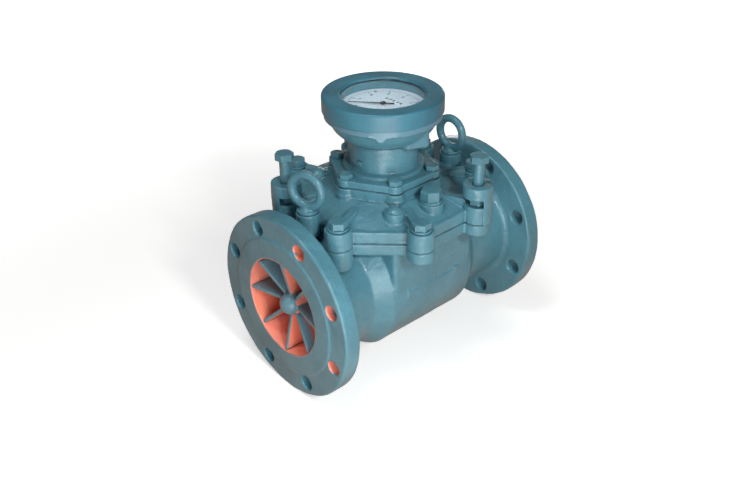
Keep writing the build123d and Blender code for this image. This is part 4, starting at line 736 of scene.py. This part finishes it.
# %% Numerals
def glyph(text, height, thickness):
    """A character as (vertices, faces), centred, with its height along +Y, in metres."""
    curve = bpy.data.curves.new("glyph", "FONT")
    curve.body = text
    curve.resolution_u = 3
    curve.extrude = 0.5
    curve.offset = 0.02
    holder = bpy.data.objects.new("glyph", curve)
    bpy.context.scene.collection.objects.link(holder)
    bpy.context.view_layer.update()
    shaped = holder.evaluated_get(bpy.context.evaluated_depsgraph_get())
    mesh = bpy.data.meshes.new_from_object(shaped)
    verts = np.array([v.co for v in mesh.vertices])
    faces = [tuple(p.vertices) for p in mesh.polygons]
    bpy.data.objects.remove(holder)
    bpy.data.meshes.remove(mesh)
    low, high = verts.min(axis=0), verts.max(axis=0)
    verts = (verts - (low + high) / 2) * (height / (high[1] - low[1]))
    verts[:, 2] = np.sign(verts[:, 2]) * thickness / 2
    return verts, faces


def place_flat(text, height, x, y, verts, faces):
    """Lays characters on the dial, upright for a reader at the -X side."""
    shape, sides = glyph(text, height * MM, 2 * ink_height)
    start = len(verts)
    verts += [(dial_x + x * MM + v[1], dial_y + y * MM - v[0], dial_top + v[2]) for v in shape]
    faces += [tuple(start + k for k in side) for side in sides]


numeral_height, ring_x, ring_y = 6.2, 39.5, 40.0
verts, faces = [], []
for number in range(10):
    angle = -math.radians(36 * number)
    x, y = ring_x * math.cos(angle), ring_y * math.sin(angle)
    place_flat(str(number), numeral_height, x, y, verts, faces)
piece_from("dial_numerals", verts, faces, ink_black, "meter")
print("numerals", len(faces), "faces")

# %% [markdown]
# Number drums. Each drum carries the ten digits round its rim. A flat digit is cut into strips
# and bent over the drum, so it follows the curve. The drums are geared without steps, so each one
# starts where the reading puts it: the first drum between two digits, and the others just past a
# whole one.

# %% Digits on the drums
drum_r, digit_lift, digit_height = 8.0 * MM, 0.04 * MM, 3.5
strip_width, strips_each_way = 0.4, 4


def bend_round(shape, sides, angle, axle, verts, faces):
    """Wraps a flat character over a drum whose axle runs along Y."""
    mesh = bmesh.new()
    made = [mesh.verts.new(v) for v in shape]
    for side in sides:
        try:
            mesh.faces.new([made[k] for k in side])
        except ValueError:
            continue
    for step in range(-strips_each_way, strips_each_way + 1):
        everything = mesh.verts[:] + mesh.edges[:] + mesh.faces[:]
        cut = (0, step * strip_width * MM, 0)
        bmesh.ops.bisect_plane(mesh, geom=everything, plane_co=cut, plane_no=(0, 1, 0))
    mesh.verts.index_update()
    start = len(verts)
    for v in mesh.verts:
        turn, r = angle + v.co.y / drum_r, drum_r + digit_lift + v.co.z
        verts.append((axle.x + r * math.sin(turn), axle.y - v.co.x, axle.z + r * math.cos(turn)))
    faces.extend(tuple(start + v.index for v in f.verts) for f in mesh.faces)
    mesh.free()


digit_shapes = [glyph(str(digit), digit_height * MM, 2 * digit_lift) for digit in range(10)]
pointer_reading = 0.64
drum_bodies = ("drum_units", "drum_tens", "drum_hundreds", "drum_thousands", "drum_ten_thousands")
for place, body in enumerate(drum_bodies):
    low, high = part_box(f"number_drum_{place + 1}")
    axle = (low + high) / 2
    verts, faces = [], []
    for digit, (shape, sides) in enumerate(digit_shapes):
        shown = pointer_reading * 0.1 ** place
        bend_round(shape, sides, -math.radians(36) * (digit - shown), axle, verts, faces)
    piece_from(f"drum_digits_{place + 1}", verts, faces, digit_white, body)
    print(body, "digits", len(faces), "faces")

# %% [markdown]
# The stage: a wide pale floor and a white world. White behind an object should not mean more
# light on it, so only camera rays see the brighter floor and world. For every other ray the floor
# is a warm brown, because the photographed meter has a warm tint where it faces down. The lamps
# light the meter at a plain level, at which a colour renders about as it is written.

# %% Floor
floor_z = cad_box[0].z
floor_mesh = bpy.data.meshes.new("floor")
span = 9.0
corners = [(x * span, y * span, floor_z) for x, y in ((-1, -1), (1, -1), (1, 1), (-1, 1))]
floor_mesh.from_pydata(corners, [], [(0, 1, 2, 3)])
floor = bpy.data.objects.new("floor", floor_mesh)
bpy.context.scene.collection.objects.link(floor)
floor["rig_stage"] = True
pale, tree, shader = start_material("pale floor")
floor_mesh.materials.append(pale)
shader.inputs["Roughness"].default_value = 0.9
shader.inputs["Specular IOR Level"].default_value = 0.0
paths = add(tree, "ShaderNodeLightPath").outputs
warm_bounce, seen_white = (0.66, 0.38, 0.27, 1), (0.9, 0.9, 0.9, 1)
near_glow, far_glow, mirror_glow = 0.5, 1.0, 0.12
floor_tone = blend(tree, paths["Is Camera Ray"], warm_bounce, seen_white)
plug(tree, shader.inputs["Base Color"], floor_tone)
here = {0: own_place(tree)}
from_meter = add(tree, "ShaderNodeVectorMath", here, operation="LENGTH").outputs["Value"]
rising = remap(tree, from_meter, 0.4, 1.6, near_glow, far_glow)
glow = times(tree, paths["Is Camera Ray"], rising)
mirrored = times(tree, paths["Is Glossy Ray"], mirror_glow)
shader.inputs["Emission Color"].default_value = (1, 1, 1, 1)
plug(tree, shader.inputs["Emission Strength"], calc(tree, "ADD", glow, mirrored))

# %% World and lamps
world = bpy.data.worlds.new("studio")
bpy.context.scene.world = world
world.use_nodes = True
tree = world.node_tree
paths = add(tree, "ShaderNodeLightPath").outputs
ambient, seen_extra = 0.1, 0.9
strength = calc(tree, "ADD", ambient, times(tree, paths["Is Camera Ray"], seen_extra))
plug(tree, tree.nodes["Background"].inputs["Color"], (1, 1, 1, 1))
plug(tree, tree.nodes["Background"].inputs["Strength"], strength)

def lamp(name, direction, distance, level, size, colour, aim):
    """A soft square lamp. Level 1 lights a white card to white where the lamp is aimed."""
    data = bpy.data.lights.new(name, "AREA")
    data.size = size
    data.color = colour
    data.energy = level * math.pi ** 2 * distance ** 2
    made = bpy.data.objects.new(name, data)
    bpy.context.scene.collection.objects.link(made)
    away = Vector(direction).normalized()
    made.location = aim + away * distance
    made.rotation_mode = "QUATERNION"
    made.rotation_quaternion = away.to_track_quat("Z", "Y")


centre = Vector((0.2, 0.0, 0.06))
register = Vector((0.19, -0.03, 0.2))
# Each lamp's direction, distance in metres, level, size in metres, colour and aim.
lamps = {
    "key": ((-0.24, -0.8, 0.58), 2.0, 0.4, 0.3, (1.0, 0.99, 0.96), centre),
    "warm side": ((-1.0, -0.1, 0.05), 2.0, 0.06, 1.0, (1.0, 0.7, 0.5), centre),
    "register light": ((-0.6, -0.75, -0.2), 0.7, 0.68, 0.5, (0.92, 0.97, 1.0), register),
    "back fill": ((0.7, 0.6, -0.03), 2.4, 0.2, 1.2, (1.0, 0.98, 0.95), centre),
    "top light": ((-0.3, 0.0, 0.95), 2.4, 0.27, 0.7, (1.0, 1.0, 1.0), centre),
}
for name, values in lamps.items():
    lamp(name, *values)
print("lamps:", len(bpy.data.lights))

# %% Sizes and finish
seen_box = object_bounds()
for title, box in (("size", seen_box), ("cad", cad_box)):
    print(title, [round(b - a, 4) for a, b in zip(*box)])
